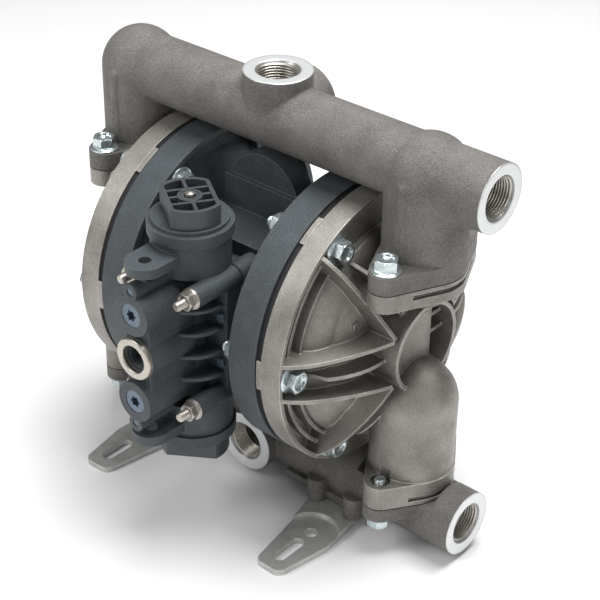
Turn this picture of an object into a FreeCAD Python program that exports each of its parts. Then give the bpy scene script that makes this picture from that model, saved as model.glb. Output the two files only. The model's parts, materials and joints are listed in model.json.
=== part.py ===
import FreeCAD, Part
import math
import os
import Sketcher
from FreeCAD import Placement, Rotation, Vector

# Air operated diaphragm pump with metal casings.
# Frame: X runs along the diaphragm rod, the air valve faces -Y, Z is up.
# The origin lies midway between the feet, on the plane they stand on.

DIMENSIONS = {
    # overall layout
    "axis_z": 175,
    "port_rise": 143.5,
    "leg_x": 142.4,
    # manifold tubes and ports
    "tube_rad": 26.2,
    "port_rad": 26.4,
    "port_bore": 15.4,
    "port_mouth": 17.4,
    "flow_bore": 14.4,
    "thread_deep": 22,
    "front_thread_deep": 20,
    "upper_right_face": 202,
    "lower_right_face": 198.5,
    "top_face": 354,
    "front_face": 36,
    "rear_boss_face": 38.5,
    # ball chambers
    "leg_rad": 31.7,
    "chamber_rad": 25,
    "dome_rad": 33.4,
    "dome_z": 125,
    "seam_up_z": 243.5,
    "seam_low_z": 47.7,
    "flange_end_rad": 12.5,
    "upper_bolt_y": 45,
    "lower_bolt_y": 39,
    "upper_flange_thick": 14.5,
    "lower_flange_thick": 12,
    "ball_rad": 19,
    "ball_lift": 9,
    "seat_bore": 15,
    "seat_rad": 24.7,
    "seat_sink": 3.5,
    # air chambers and motor block
    "disc_rad": 113.2,
    "disc_back_x": 53.8,
    "disc_face_x": 79.3,
    "pad_y": 79,
    "valve_plate_y": 94,
    "block_half_x": 36,
    "brace_half_x": 42.5,
    "block_half_z": 62,
    "pad_half_z": 50,
    "stud_tube_rad": 9.2,
    # covers
    "cover_rad": 112.7,
    "cover_back_x": 84.8,
    "cover_rim_x": 103,
    "rim_inner_rad": 109.3,
    "bolt_circle": 99,
    "wall_rim_offset": 14.8,
    "wall_hub_offset": 19.5,
    "wall_thick": 3,
    "hub_rad": 36.5,
    "hub_face_x": 150,
    "column_half_y": 18,
    "column_face_x": 140,
    # diaphragms, plates and rod
    "diaphragm_rad": 111,
    "plate_rad": 58,
    "rod_rad": 9.5,
    "rod_clear": 0.05,
    "pilot_rad": 4,
    "pilot_rise": 27,
    "pilot_half": 63,
    # air valve
    "valve_y": 94.5,
    "valve_face_y": 158.5,
    "head_rad": 30.4,
    "collar_rad": 32.6,
    "head_bore": 19,
    "sleeve_bore": 12.5,
    "barrel_rad": 16,
    "fin_rad": 28,
    "fin_pitch": 20,
    "cap_rad": 27,
    "cap_flat": 18.6,
    "cap_rise": 112,
    "collar_rise": 92,
    "head_foot_rise": 57,
    "stud_x": 28.5,
    "stud_rise": 49,
    "plug_rise": 38,
    "set_screw_rise": 58,
    "ear_y": 142,
    "ear_rise": 78,
    "inlet_bore": 10.4,
    "inlet_thread_deep": 20,
    "inlet_floor_y": 112.5,
    "passage_rad": 5,
    "spool_travel": 12,
    # feet
    "foot_x": 96,
    "foot_thick": 5,
    "foot_tip_y": 117,
    "foot_hole_y": 64.5,
    "foot_hole_rad": 5.3,
    "slot_y": 91,
    "slot_half_len": 15.5,
    "slot_half_wide": 5,
    # fasteners
    "bolt_rad": 4.9,
    "bolt_hole": 5.3,
    "bolt_flange_rad": 11.8,
    "bolt_across_flats": 16,
    # cover details
    "fit": 0.4,
    "inlet_boss_rad": 17.3,
    "inlet_ring_rad": 17,
    "inlet_ring_deep": 4,
    "plug_boss_rad": 16.5,
    "plug_rad": 9.4,
    "star_rad": 3.4,
    "star_lobe_rad": 1.3,
    "set_boss_rad": 6.5,
    "set_screw_rad": 3,
    "ear_rad": 15,
    "stud_boss_rad": 8.5,
    "stud_boss_y": 124,
    "stud_tip_y": 141,
    "stud_root_y": 66,
    "cap_base_rise": 96.8,
    "cap_hub_rad": 9.3,
    "cap_rim": 3,
    "cap_bar": 2.4,
    "cap_bar_pitch": 10.5,
    "cap_turn": 146,
    "spigot_rise": 78,
    "button_rad": 3.5,
    "button_room_rad": 6.2,
    "button_guide_rad": 7.6,
    "spring_wire_rad": 0.5,
    "sleeve_half": 70,
    "spool_rad": 9,
    "spool_neck_rad": 6,
    "spool_half": 71.5,
    "cover_bolt_tip_x": 38,
    "suction_bolt_tip_z": 70,
    "foot_root_out": 112.5,
    "foot_root_in": 68,
    "foot_root_y": 32,
    "foot_shoulder_out": 115,
    "foot_shoulder_in": 72.5,
    "foot_shoulder_y": 50,
    "foot_waist_out": 116.2,
    "foot_waist_y": 70,
    "foot_step_y": 66,
    "foot_screw_in": 74.5,
    "foot_screw_out": 105.5,
    "foot_tip_half": 13.5,
    "foot_corner": 8,
    "spot_face_rad": 22,
    "web_rad": 44,
    "air_mouth_rad": 90,
    "air_floor_x": 58.5,
    "pad_half_x": 36,
    "web_top_z": 263,
    "arch_rad": 35.8,
    "arch_z": 251.4,
    "arch_deep": 19,
    "exhaust_rad": 27,
    "exhaust_face": 92,
    "exhaust_bore": 15.5,
    "bush_rad": 14,
    "pilot_sleeve_rad": 7,
    "stud_rad": 3.9,
    "lap": 0.05,
    "plate_seat_x": 79.6,
    "diaphragm_thick": 5,
    "hub_hole_rad": 10.5,
    "outer_plate_x": 97,
    "inner_plate_x": 72,
    "rod_half": 86,
    "rim_floor_x": 91,
    "arc_rib_rad": 102,
    "arc_rib_thick": 2.8,
    "arc_rib_pitch": 8.6,
    "arc_rib_rise": 8.5,
    "dome_foot_x": 100,
    "dome_top_x": 121.5,
    "dome_shoulder_rad": 40,
    "dome_knee_x": 114.5,
    "dome_knee_rad": 71,
    "dome_foot_curve": 30,
    "dome_top_curve": 38,
    "dome_wall": 5,
    "chamber_mouth_rad": 90,
    "wall_apex_rad": 36,
    "ridge_knee_x": 122,
    "ridge_knee_rad": 90,
    "ridge_curve_rad": 220,
    "ridge_nose_rad": 75,
    "valley_half": 12.5,
    "sector_rad": 86,
    "sector_half_y": 58,
    "lip_gap_half": 66,
    "lip_gap_top": 88,
    "valley_rib_thick": 3,
    "valley_rib_rad": 87.5,
    "valley_curve_rad": 70,
    "cover_pad_x": 101,
    "cross_rib_thick": 3,
    "flange_shoulder": 8,
    "bowl_foot_rad": 17,
    "bowl_deep": 13,
    "riser_x": 126,
    "riser_rad": 11,
    "seat_pocket_rad": 24.9,
    "upper_relief_half_y": 36,
    "lower_relief_half_y": 30,
    "relief_depth": 3.5,
    "tip_pocket_rad": 7.8,
    "tip_pocket_rise": 15,
    "pin_boss_rad": 4,
    "pin_boss_circle": 58,
    "cage_clear": 0.6,
    "cage_rib_thick": 4,
    "cage_hook": 3,
    "ball_rise": 15.16,
    # manifold details
    "ridge_rad": 5.5,
    "ridge_tall": 73,
    "lug_inner_x": 71.9,
    "lug_outer_x": 109.1,
    "lug_rad": 8,
    "lug_y": 28,
    "lug_top_z": 28,
    "rail_start_x": 36.6,
    "rail_end_x": 112,
    "rail_y": 19,
    "rail_wide": 14,
    "rail_foot_z": 9.3,
    "rail_top_z": 15.5,
    "foot_root_z": 8,
    "foot_screw_rad": 3,
}

doc = FreeCAD.newDocument("diaphragm_pump")
sheet = doc.addObject("Spreadsheet::Sheet", "Dim")
for row, (alias, value) in enumerate(DIMENSIONS.items(), start=1):
    sheet.set("A%d" % row, alias)
    sheet.set("B%d" % row, str(value))
    sheet.setAlias("B%d" % row, alias)
doc.recompute()

AXIS_TURN = {
    "X": Rotation(Vector(0, 1, 0), 90),
    "Y": Rotation(Vector(1, 0, 0), -90),
    "Z": Rotation(),
}
VALVE_Z = "Dim.axis_z"


def value_of(expression):
    """Number that an expression on the sheet gives now."""
    return float(sheet.evalExpression(str(expression)))


def bind(thing, sizes):
    """Bind properties of a document object to expressions."""
    for name, expression in sizes.items():
        thing.setExpression(name, str(expression))
    return thing


def place(thing, x, y, z, axis="Z"):
    """Put an object at a bound position with its length along one axis."""
    thing.Placement = Placement(Vector(), AXIS_TURN[axis])
    spot = {"Placement.Base.x": x, "Placement.Base.y": y, "Placement.Base.z": z}
    return bind(thing, spot)


def cylinder(radius, length, x, y, z, axis="Z"):
    """Round bar that starts at a point and runs along +axis."""
    bar = doc.addObject("Part::Cylinder", "bar")
    bind(bar, {"Radius": radius, "Height": length})
    return place(bar, x, y, z, axis)


def cone(radius_1, radius_2, length, x, y, z, axis="Z"):
    """Taper that starts at a point and runs along +axis."""
    taper = doc.addObject("Part::Cone", "taper")
    bind(taper, {"Radius1": radius_1, "Radius2": radius_2, "Height": length})
    return place(taper, x, y, z, axis)


def sphere(radius, x, y, z):
    """Ball about a point."""
    ball = doc.addObject("Part::Sphere", "ball")
    bind(ball, {"Radius": radius})
    return place(ball, x, y, z)


def block(length_x, length_y, length_z, x, y, z):
    """Box centred on a point in X and Y, standing on its z."""
    box = doc.addObject("Part::Box", "block")
    bind(box, {"Length": length_x, "Width": length_y, "Height": length_z})
    return place(box, "%s - (%s) / 2" % (x, length_x), "%s - (%s) / 2" % (y, length_y), z)


def fuse(pieces):
    """Union of objects that overlap, joined one after another."""
    union = pieces[0]
    for piece in pieces[1:]:
        step = doc.addObject("Part::Fuse", "union")
        step.Base = union
        step.Tool = piece
        union = step
    return union


def cluster(pieces):
    """Objects that stand clear of each other, taken as one."""
    together = doc.addObject("Part::MultiFuse", "cluster")
    together.Shapes = pieces
    return together


def cut(base, tools):
    """Base object without its tools, taken away one after another."""
    for tool in tools:
        step = doc.addObject("Part::Cut", "cut")
        step.Base = base
        step.Tool = tool
        base = step
    return base


def common(first, second):
    """Shared volume of two objects."""
    result = doc.addObject("Part::Common", "shared")
    result.Base = first
    result.Tool = second
    return result


def mirror(source, normal):
    """Mirror image through a plane at the origin."""
    image = doc.addObject("Part::Mirroring", "image")
    image.Source = source
    image.Normal = normal
    return image


def group(name, shapes):
    """Several separate solids of one kind, kept as one sub-part."""
    kit = doc.addObject("Part::Feature", name)
    kit.Shape = Part.makeCompound(shapes)
    kit.Placement = Placement()
    return kit


def merged(name, shapes):
    """Overlapping solids joined into one sub-part."""
    kit = doc.addObject("Part::Feature", name)
    kit.Shape = shapes[0].fuse(shapes[1:])
    kit.Placement = Placement()
    return kit


def origin_item(body, role):
    """Origin plane or axis of a body."""
    return next(item for item in body.Origin.OriginFeatures if item.Role == role)


def outline_sketch(body, role, outline):
    """Closed sketch on an origin plane of a body."""
    sketch = body.newObject("Sketcher::SketchObject", "outline")
    sketch.AttachmentSupport = [(origin_item(body, role), "")]
    sketch.MapMode = "FlatFace"
    return draw_outline(sketch, outline)


def draw_outline(sketch, outline):
    """Fill a sketch with a closed outline; every corner is bound to the sheet.

    A corner is (x, y). A corner (x, y, radius) is reached by an arc of that
    radius: a positive one bulges to the left of the way there, a negative one
    to the right.
    """
    spots = [Vector(value_of(c[0]), value_of(c[1]), 0) for c in outline]
    count = len(outline)
    ends = []
    for k in range(count):
        start = spots[k]
        end = spots[(k + 1) % count]
        corner = outline[(k + 1) % count]
        if len(corner) == 2:
            sketch.addGeometry(Part.LineSegment(start, end), False)
            ends.append((1, 2))
            continue
        radius = value_of(corner[2])
        chord = end - start
        sag = abs(radius) - math.sqrt(radius * radius - chord.Length ** 2 / 4)
        side = Vector(-chord.y, chord.x, 0).normalize()
        through = (start + end) * 0.5 + side * math.copysign(sag, radius)
        if radius > 0:
            sketch.addGeometry(Part.Arc(end, through, start), False)
            ends.append((2, 1))
        else:
            sketch.addGeometry(Part.Arc(start, through, end), False)
            ends.append((1, 2))
    for k in range(count):
        after = (k + 1) % count
        sketch.addConstraint(Sketcher.Constraint("Coincident", k, ends[k][1], after, ends[after][0]))
    for k in range(count):
        bind_corner(sketch, k, ends[k][0], outline[k])
        corner = outline[(k + 1) % count]
        if len(corner) == 3:
            index = sketch.addConstraint(Sketcher.Constraint("Radius", k, abs(value_of(corner[2]))))
            sketch.setExpression("Constraints[%d]" % index, "abs(%s)" % corner[2])
    return sketch


def bind_corner(sketch, curve, end, corner):
    """Fix one corner of a sketch by its two bound distances from the origin."""
    for kind, axis, expression in (("DistanceX", -2, corner[0]), ("DistanceY", -1, corner[1])):
        size = value_of(expression)
        if abs(size) < 1e-9:
            sketch.addConstraint(Sketcher.Constraint("PointOnObject", curve, end, axis))
            continue
        index = sketch.addConstraint(Sketcher.Constraint(kind, -1, 1, curve, end, size))
        sketch.setExpression("Constraints[%d]" % index, str(expression))


def turned(name, outline, axis="X", x="0", y="0", z="0"):
    """Solid revolved about X or Z from an outline of (along X, up Z) corners."""
    sketch = doc.addObject("Sketcher::SketchObject", "%s_outline" % name)
    sketch.Placement = Placement(Vector(), Rotation(Vector(1, 0, 0), 90))
    draw_outline(sketch, outline)
    bind(sketch, {"Placement.Base.x": x, "Placement.Base.y": y, "Placement.Base.z": z})
    spin = doc.addObject("Part::Revolution", name)
    spin.Source = sketch
    spin.Axis = Vector(1, 0, 0) if axis == "X" else Vector(0, 0, 1)
    spin.Angle = 360
    spin.Solid = True
    return bind(spin, {"Base.x": x, "Base.y": y, "Base.z": z})


def plate(name, outline, thick, z):
    """Body padded upwards from an outline in plan."""
    body = doc.addObject("PartDesign::Body", name)
    sketch = outline_sketch(body, "XY_Plane", outline)
    pad = body.newObject("PartDesign::Pad", "padded")
    pad.Profile = sketch
    bind(pad, {"Length": thick})
    place(body, "0", "0", z)
    return body


def oval_flange(x, middle_rad, bolt_y, end_rad, thick, z):
    """Two-bolt flange: a round middle that tapers to a lobe at each bolt."""
    middle = value_of(middle_rad)
    end = value_of(end_rad)
    reach = value_of(bolt_y)
    lean = math.asin((middle - end) / reach)
    wide = (middle * math.cos(lean), middle * math.sin(lean))
    tip = (end * math.cos(lean), reach + end * math.sin(lean))
    web = doc.addObject("Part::Feature", "flange_web")
    corners = [(wide[0], wide[1]), (tip[0], tip[1]), (-tip[0], tip[1]), (-wide[0], wide[1]),
               (-wide[0], -wide[1]), (-tip[0], -tip[1]), (tip[0], -tip[1]), (wide[0], -wide[1])]
    points = [Vector(px, py, 0) for px, py in corners]
    face = Part.Face(Part.makePolygon(points + points[:1]))
    web.Shape = face.extrude(Vector(0, 0, value_of(thick)))
    web.Placement = Placement(Vector(value_of(x), 0, value_of(z)), Rotation())
    lobes = [cylinder(end_rad, thick, x, "%s%s" % (sign, bolt_y), z) for sign in ("", "-")]
    return fuse([web, cylinder(middle_rad, thick, x, "0", z)] + lobes)


def label(thing, name):
    """Name a finished sub-part."""
    thing.Label = name
    finished.append((name, thing))
    return thing


finished = []
SIDES = (("left", -1), ("right", 1))
UPPER_Z = "Dim.axis_z + Dim.port_rise"
LOWER_Z = "Dim.axis_z - Dim.port_rise"


# walls left out beside the upper and lower bolts, where the cover has plain flat sectors
OPEN_WALLS = ((60, 1), (120, -1), (240, 1), (300, -1))


def spokes():
    """Angles of the six cover bolts about X, starting at the front."""
    return [60 * k for k in range(6)]


def on_circle(radius, angle):
    """Y and Z of a point on a circle about the diaphragm axis."""
    turn = math.radians(angle)
    return -radius * math.cos(turn), value_of("Dim.axis_z") + radius * math.sin(turn)


def hex_prism(across_flats, length):
    """Hexagonal bar along +Z about the origin."""
    corner = across_flats / math.sqrt(3)
    points = [Vector(corner * math.cos(math.radians(60 * k)), corner * math.sin(math.radians(60 * k)), 0)
              for k in range(7)]
    return Part.Face(Part.makePolygon(points)).extrude(Vector(0, 0, length))


def flange_bolt(shank_length, shank_rad, flange_rad, across_flats):
    """Flange bolt that hangs below its bearing face at z = 0."""
    washer = Part.makeCone(flange_rad, flange_rad * 0.78, 3.4)
    head = hex_prism(across_flats, 10.4)
    crown = Part.makeCone(across_flats * 0.34, across_flats * 0.42, 4, Vector(0, 0, 6.8))
    shank = Part.makeCylinder(shank_rad, shank_length, Vector(0, 0, -shank_length))
    return washer.fuse(head).cut(crown).fuse(shank).removeSplitter()


def flange_nut(bore_rad, flange_rad, across_flats, height=10):
    """Flange nut that stands on z = 0, open for its bolt."""
    washer = Part.makeCone(flange_rad, flange_rad * 0.82, 2.6)
    body = hex_prism(across_flats, height)
    return washer.fuse(body).cut(Part.makeCylinder(bore_rad, height)).removeSplitter()


def to_direction(shape, x, y, z, direction):
    """Shape built along +Z, laid along a direction from a point."""
    copy = shape.copy()
    copy.Placement = Placement(Vector(x, y, z), Rotation(Vector(0, 0, 1), direction))
    return copy


def cover_shell():
    """Turned casting: clamped rim, two arc ribs and the pumping dome."""
    return turned("cover_shell", [
        ("Dim.cover_back_x", "0"),
        ("Dim.cover_back_x", "Dim.cover_rad"),
        ("Dim.cover_rim_x", "Dim.cover_rad"),
        ("Dim.cover_rim_x", "Dim.rim_inner_rad"),
        ("Dim.rim_floor_x", "Dim.rim_inner_rad"),
        ("Dim.rim_floor_x", "Dim.arc_rib_rad"),
        ("Dim.rim_floor_x + Dim.arc_rib_rise", "Dim.arc_rib_rad"),
        ("Dim.rim_floor_x + Dim.arc_rib_rise", "Dim.arc_rib_rad - Dim.arc_rib_thick"),
        ("Dim.rim_floor_x", "Dim.arc_rib_rad - Dim.arc_rib_thick"),
        ("Dim.rim_floor_x", "Dim.arc_rib_rad - Dim.arc_rib_pitch"),
        ("Dim.rim_floor_x + Dim.arc_rib_rise + 4", "Dim.arc_rib_rad - Dim.arc_rib_pitch"),
        ("Dim.rim_floor_x + Dim.arc_rib_rise + 4", "Dim.arc_rib_rad - Dim.arc_rib_pitch - Dim.arc_rib_thick"),
        ("Dim.dome_foot_x", "Dim.arc_rib_rad - Dim.arc_rib_pitch - Dim.arc_rib_thick"),
        ("Dim.dome_knee_x", "Dim.dome_knee_rad", "Dim.dome_foot_curve"),
        ("Dim.dome_top_x", "Dim.dome_shoulder_rad", "Dim.dome_top_curve"),
        ("Dim.dome_top_x + 1", "0"),
    ], z="Dim.axis_z")


def sector_wall():
    """One thin radial wall, standing on the plane Y = 0 with its radius along Z."""
    body = doc.addObject("PartDesign::Body", "sector_wall")
    sketch = outline_sketch(body, "XZ_Plane", [
        ("Dim.rim_floor_x - 2", "Dim.wall_apex_rad"),
        ("Dim.hub_face_x - 3", "Dim.wall_apex_rad"),
        ("Dim.hub_face_x - 3", "Dim.hub_rad"),
        ("Dim.ridge_knee_x", "Dim.ridge_knee_rad", "-Dim.ridge_curve_rad"),
        ("Dim.cover_rim_x - 1", "Dim.cover_rad - 2", "-Dim.ridge_nose_rad"),
        ("Dim.rim_floor_x - 2", "Dim.cover_rad - 2"),
    ])
    pad = body.newObject("PartDesign::Pad", "padded")
    pad.Profile = sketch
    pad.SideType = "Symmetric"
    bind(pad, {"Length": "Dim.wall_thick"})
    return body


def valley_rib():
    """Low radial rib in the valley behind a bolt, radius along Z."""
    body = doc.addObject("PartDesign::Body", "valley_rib")
    sketch = outline_sketch(body, "XZ_Plane", [
        ("Dim.rim_floor_x + 8", "Dim.hub_rad - 1"),
        ("Dim.column_face_x - 1", "Dim.hub_rad - 1"),
        ("Dim.column_face_x - 1", "Dim.hub_rad + 4"),
        ("Dim.dome_top_x + 2", "Dim.valley_rib_rad - 5", "-Dim.valley_curve_rad"),
        ("Dim.rim_floor_x + 18", "Dim.valley_rib_rad"),
        ("Dim.rim_floor_x + 8", "Dim.valley_rib_rad"),
    ])
    pad = body.newObject("PartDesign::Pad", "padded")
    pad.Profile = sketch
    pad.SideType = "Symmetric"
    bind(pad, {"Length": "Dim.valley_rib_thick"})
    return body


def cover_walls():
    """Sector walls beside the bolts and a rib in the valley behind each bolt."""
    wall = sector_wall()
    rib = valley_rib()
    doc.recompute()
    reach = value_of("Dim.cover_rad - 2") - value_of("Dim.wall_apex_rad")
    splay = value_of("Dim.wall_hub_offset - Dim.wall_rim_offset") / reach
    offset = value_of("Dim.wall_hub_offset") + splay * value_of("Dim.wall_apex_rad")
    walls = []
    for angle in spokes():
        for side in (-1, 1):
            if (angle, side) in OPEN_WALLS:
                continue
            lean = Rotation(Vector(1, 0, 0), side * math.degrees(math.atan(splay)))
            copy = wall.Shape.copy()
            copy.Placement = Placement(Vector(0, side * offset, 0), lean)
            walls.append(to_spoke(copy, angle))
        walls.append(to_spoke(rib.Shape, angle))
    return merged("cover_walls", walls)


def to_spoke(shape, angle):
    """Shape drawn with its radius along Z, laid on one bolt's spoke."""
    copy = shape.copy()
    swing = Placement(Vector(0, 0, value_of("Dim.axis_z")), Rotation(Vector(1, 0, 0), 90 - angle))
    copy.Placement = swing.multiply(copy.Placement)
    return copy


def ball_cage(x, seat_z, name):
    """Four guide ribs round a ball, with the hooks that stop its lift."""
    inner = value_of("Dim.ball_rad + Dim.cage_clear")
    outer = value_of("Dim.chamber_rad") + 1
    foot = value_of(seat_z)
    stop = foot + value_of("Dim.ball_rise + Dim.ball_lift + Dim.ball_rad") + 0.5
    thick = value_of("Dim.cage_rib_thick")
    ribs = []
    for k in range(4):
        rib = Part.makeBox(outer - inner, thick, stop - foot, Vector(inner, -thick / 2, foot))
        hook = Part.makeBox(outer - inner / 2, thick, value_of("Dim.cage_hook"),
                            Vector(inner / 2, -thick / 2, stop))
        rib = rib.fuse(hook).removeSplitter()
        rib.rotate(Vector(), Vector(0, 0, 1), 45 + 90 * k)
        rib.translate(Vector(value_of(x), 0, 0))
        ribs.append(rib)
    return group(name, ribs)


def flat_sectors(deep):
    """Ring pieces at the top and the bottom of the cover, from the rim floor outwards."""
    ring = cut(cylinder("Dim.rim_inner_rad", deep, "Dim.rim_floor_x", "0", "Dim.axis_z", "X"),
               [cylinder("Dim.sector_rad", deep, "Dim.rim_floor_x", "0", "Dim.axis_z", "X")])
    window = cluster([block("60", "2 * Dim.sector_half_y", "60", "Dim.rim_floor_x + 10", "0", low)
                      for low in ("Dim.axis_z + 60", "Dim.axis_z - 120")])
    return common(ring, window)


def slot_recess(z, thick, middle_rad, bolt_y, half_y):
    """Long relief that follows the outer edge of a flange."""
    slab = oval_flange("Dim.leg_x", "%s + 2" % middle_rad, bolt_y, "Dim.flange_end_rad + 2", thick, z)
    core = oval_flange("Dim.leg_x", "%s - Dim.relief_depth" % middle_rad, bolt_y,
                       "Dim.flange_end_rad - Dim.relief_depth", thick, z)
    window = block("60", "2 * %s" % half_y, thick, "Dim.leg_x + 30", "0", z)
    return common(cut(slab, [core]), window)


def right_cover():
    """Fluid cover with its ball dome, riser, port flanges and webs."""
    valley_box = Part.makeBox(20, value_of("2 * Dim.valley_half"), 23.2,
                              Vector(value_of("Dim.rim_floor_x"), -value_of("Dim.valley_half"), 86))
    valleys = group("bolt_valleys", [to_spoke(valley_box, angle) for angle in (0, 180)])
    low_lip = block("20", "2 * Dim.lip_gap_half", "60", "Dim.cover_pad_x + 10", "0",
                    "Dim.axis_z - Dim.lip_gap_top - 60")
    spot_faces = []
    for angle in spokes():
        y, z = on_circle(value_of("Dim.bolt_circle"), angle)
        spot_faces.append(cylinder("Dim.bolt_flange_rad + 0.3", "6", "Dim.cover_pad_x", str(y), str(z), "X"))
    ribbed = cut(fuse([cut(cover_shell(), [valleys, flat_sectors("20")]),
                       flat_sectors("Dim.cover_pad_x - Dim.rim_floor_x")]), [low_lip, cluster(spot_faces)])
    pads = [cylinder("Dim.bolt_flange_rad + 0.2", "Dim.cover_pad_x - Dim.rim_floor_x + 2",
                     "Dim.rim_floor_x - 2", "%sDim.bolt_circle" % sign, "Dim.axis_z", "X")
            for sign in ("", "-")]
    pins = []
    for angle in spokes():
        y, z = on_circle(value_of("Dim.pin_boss_circle"), angle + 30)
        pins.append(cylinder("Dim.pin_boss_rad", "Dim.dome_top_x + 1.5 - 112", "112", str(y), str(z), "X"))
    hub = cylinder("Dim.hub_rad", "Dim.hub_face_x - 112", "112", "0", "Dim.axis_z", "X")
    hub_hollow = cylinder("Dim.hub_rad - Dim.wall_thick", "Dim.hub_face_x - Dim.dome_top_x",
                          "Dim.dome_top_x", "0", "Dim.axis_z", "X")
    column = block("Dim.column_face_x - 105", "2 * Dim.column_half_y", "Dim.seam_up_z - 10 - 110",
                   "(Dim.column_face_x + 105) / 2", "0", "110")
    ribs = cluster([block("Dim.column_face_x - 1 - 112", "2 * Dim.hub_rad", "Dim.cross_rib_thick",
                          "(Dim.column_face_x - 1 + 112) / 2", "0", "Dim.axis_z + %s" % rise)
                    for rise in ("-27.5", "-2.5", "12.5")])
    cross_ribs = common(ribs, cylinder("Dim.hub_rad - 1", "Dim.hub_face_x - 112", "112", "0", "Dim.axis_z",
                                       "X"))
    dome = fuse([cylinder("Dim.dome_rad", "Dim.dome_z - Dim.seam_low_z", "Dim.leg_x", "0", "Dim.seam_low_z"),
                 sphere("Dim.dome_rad", "Dim.leg_x", "0", "Dim.dome_z")])
    low_flange = fuse([
        oval_flange("Dim.leg_x", "Dim.dome_rad + 1", "Dim.lower_bolt_y", "Dim.flange_end_rad",
                    "Dim.lower_flange_thick", "Dim.seam_low_z"),
        oval_flange("Dim.leg_x", "Dim.dome_rad + 1", "Dim.lower_bolt_y", "Dim.flange_end_rad",
                    "Dim.flange_shoulder", "Dim.seam_low_z + Dim.lower_flange_thick")])
    up_flange = oval_flange("Dim.leg_x", "Dim.leg_rad", "Dim.upper_bolt_y", "Dim.flange_end_rad",
                            "Dim.upper_flange_thick", "Dim.seam_up_z - Dim.upper_flange_thick")
    bowl = cone("Dim.bowl_foot_rad", "Dim.leg_rad - 2", "Dim.bowl_deep", "Dim.leg_x", "0",
                "Dim.seam_up_z - Dim.upper_flange_thick - Dim.bowl_deep")
    gussets = [block("Dim.leg_x - 100", "Dim.wall_thick", "30", "(Dim.leg_x + 100) / 2", "%s26" % sign,
                     "Dim.seam_up_z - 30") for sign in ("", "-")]
    tower = fuse([column, dome, low_flange, bowl, up_flange, cut(hub, [hub_hollow]), cross_ribs,
                  cluster(gussets)])
    outside = fuse([ribbed, cluster(pads), cluster(pins), cover_walls(), tower])

    chamber = turned("pump_chamber", [
        ("Dim.cover_back_x - 1", "0"),
        ("Dim.cover_back_x - 1", "Dim.chamber_mouth_rad"),
        ("Dim.rim_floor_x", "Dim.chamber_mouth_rad"),
        ("Dim.dome_knee_x - Dim.dome_wall", "Dim.dome_knee_rad - 3", "Dim.dome_foot_curve"),
        ("Dim.dome_top_x - Dim.dome_wall", "Dim.dome_shoulder_rad - 2", "Dim.dome_top_curve"),
        ("Dim.dome_top_x + 1 - Dim.dome_wall", "0"),
    ], z="Dim.axis_z")
    ball_room = cylinder("Dim.chamber_rad", "Dim.dome_z - 12 - Dim.seam_low_z + 1", "Dim.leg_x", "0",
                         "Dim.seam_low_z - 1")
    ball_roof = sphere("Dim.chamber_rad", "Dim.leg_x", "0", "Dim.dome_z - 12")
    riser = cylinder("Dim.riser_rad", "Dim.seam_up_z - 12 - Dim.dome_z + 12", "Dim.riser_x", "0",
                     "Dim.dome_z - 12")
    outlet = cylinder("Dim.port_bore", "Dim.bowl_deep + Dim.upper_flange_thick", "Dim.leg_x", "0",
                      "Dim.seam_up_z - Dim.upper_flange_thick - Dim.bowl_deep + 8")
    seat_low = cylinder("Dim.seat_pocket_rad", "Dim.seat_sink + 1", "Dim.leg_x", "0", "Dim.seam_low_z - 1")
    seat_up = cylinder("Dim.seat_pocket_rad", "Dim.seat_sink + 1", "Dim.leg_x", "0",
                       "Dim.seam_up_z - Dim.seat_sink")
    reliefs = [slot_recess("Dim.seam_low_z + 4", "4", "Dim.dome_rad + 1", "Dim.lower_bolt_y",
                           "Dim.lower_relief_half_y"),
               slot_recess("Dim.seam_up_z - 7.5", "4", "Dim.leg_rad", "Dim.upper_bolt_y",
                           "Dim.upper_relief_half_y")]
    bolt_holes = []
    for angle in spokes():
        y, z = on_circle(value_of("Dim.bolt_circle"), angle)
        bolt_holes.append(cylinder("Dim.bolt_hole", "30", "80", str(y), str(z), "X"))
    upper_holes, lower_holes, tip_pockets = [], [], []
    for sign in ("", "-"):
        upper_holes.append(cylinder("Dim.bolt_hole", "40", "Dim.leg_x", "%sDim.upper_bolt_y" % sign,
                                    "Dim.seam_up_z - Dim.upper_flange_thick + 3"))
        lower_holes.append(cylinder("Dim.bolt_hole", "40", "Dim.leg_x", "%sDim.lower_bolt_y" % sign,
                                    "Dim.seam_low_z - 5"))
        tip_pockets.append(cylinder("Dim.tip_pocket_rad", "14", "Dim.leg_x", "%sDim.lower_bolt_y" % sign,
                                    "Dim.seam_low_z + Dim.tip_pocket_rise"))
    taps = [cluster(upper_holes + lower_holes), cluster(tip_pockets)]
    above_seam = oval_flange("Dim.leg_x", "Dim.leg_rad + 1.2", "Dim.upper_bolt_y", "Dim.flange_end_rad + 1",
                             "80", "Dim.seam_up_z")
    flow = fuse([chamber, riser, ball_room, ball_roof, outlet, cluster([seat_low, seat_up])])
    trims = cluster(reliefs + bolt_holes)
    hollowed = cut(outside, [flow, above_seam, trims] + taps)
    cage = ball_cage("Dim.leg_x", "Dim.seam_low_z + Dim.seat_sink", "suction_cage")
    return fuse([hollowed, common(cage, fuse([
        cylinder("Dim.chamber_rad + 1", "Dim.dome_z - 12 - Dim.seam_low_z", "Dim.leg_x", "0",
                 "Dim.seam_low_z"),
        sphere("Dim.chamber_rad + 1", "Dim.leg_x", "0", "Dim.dome_z - 12")]))])


right = label(right_cover(), "right_cover")
label(mirror(right, (1, 0, 0)), "left_cover")


def manifold_legs(z, height):
    """Two upright legs over or under the ball chambers."""
    return [cylinder("Dim.leg_rad", height, "%sDim.leg_x" % sign, "0", z) for sign in ("", "-")]


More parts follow.
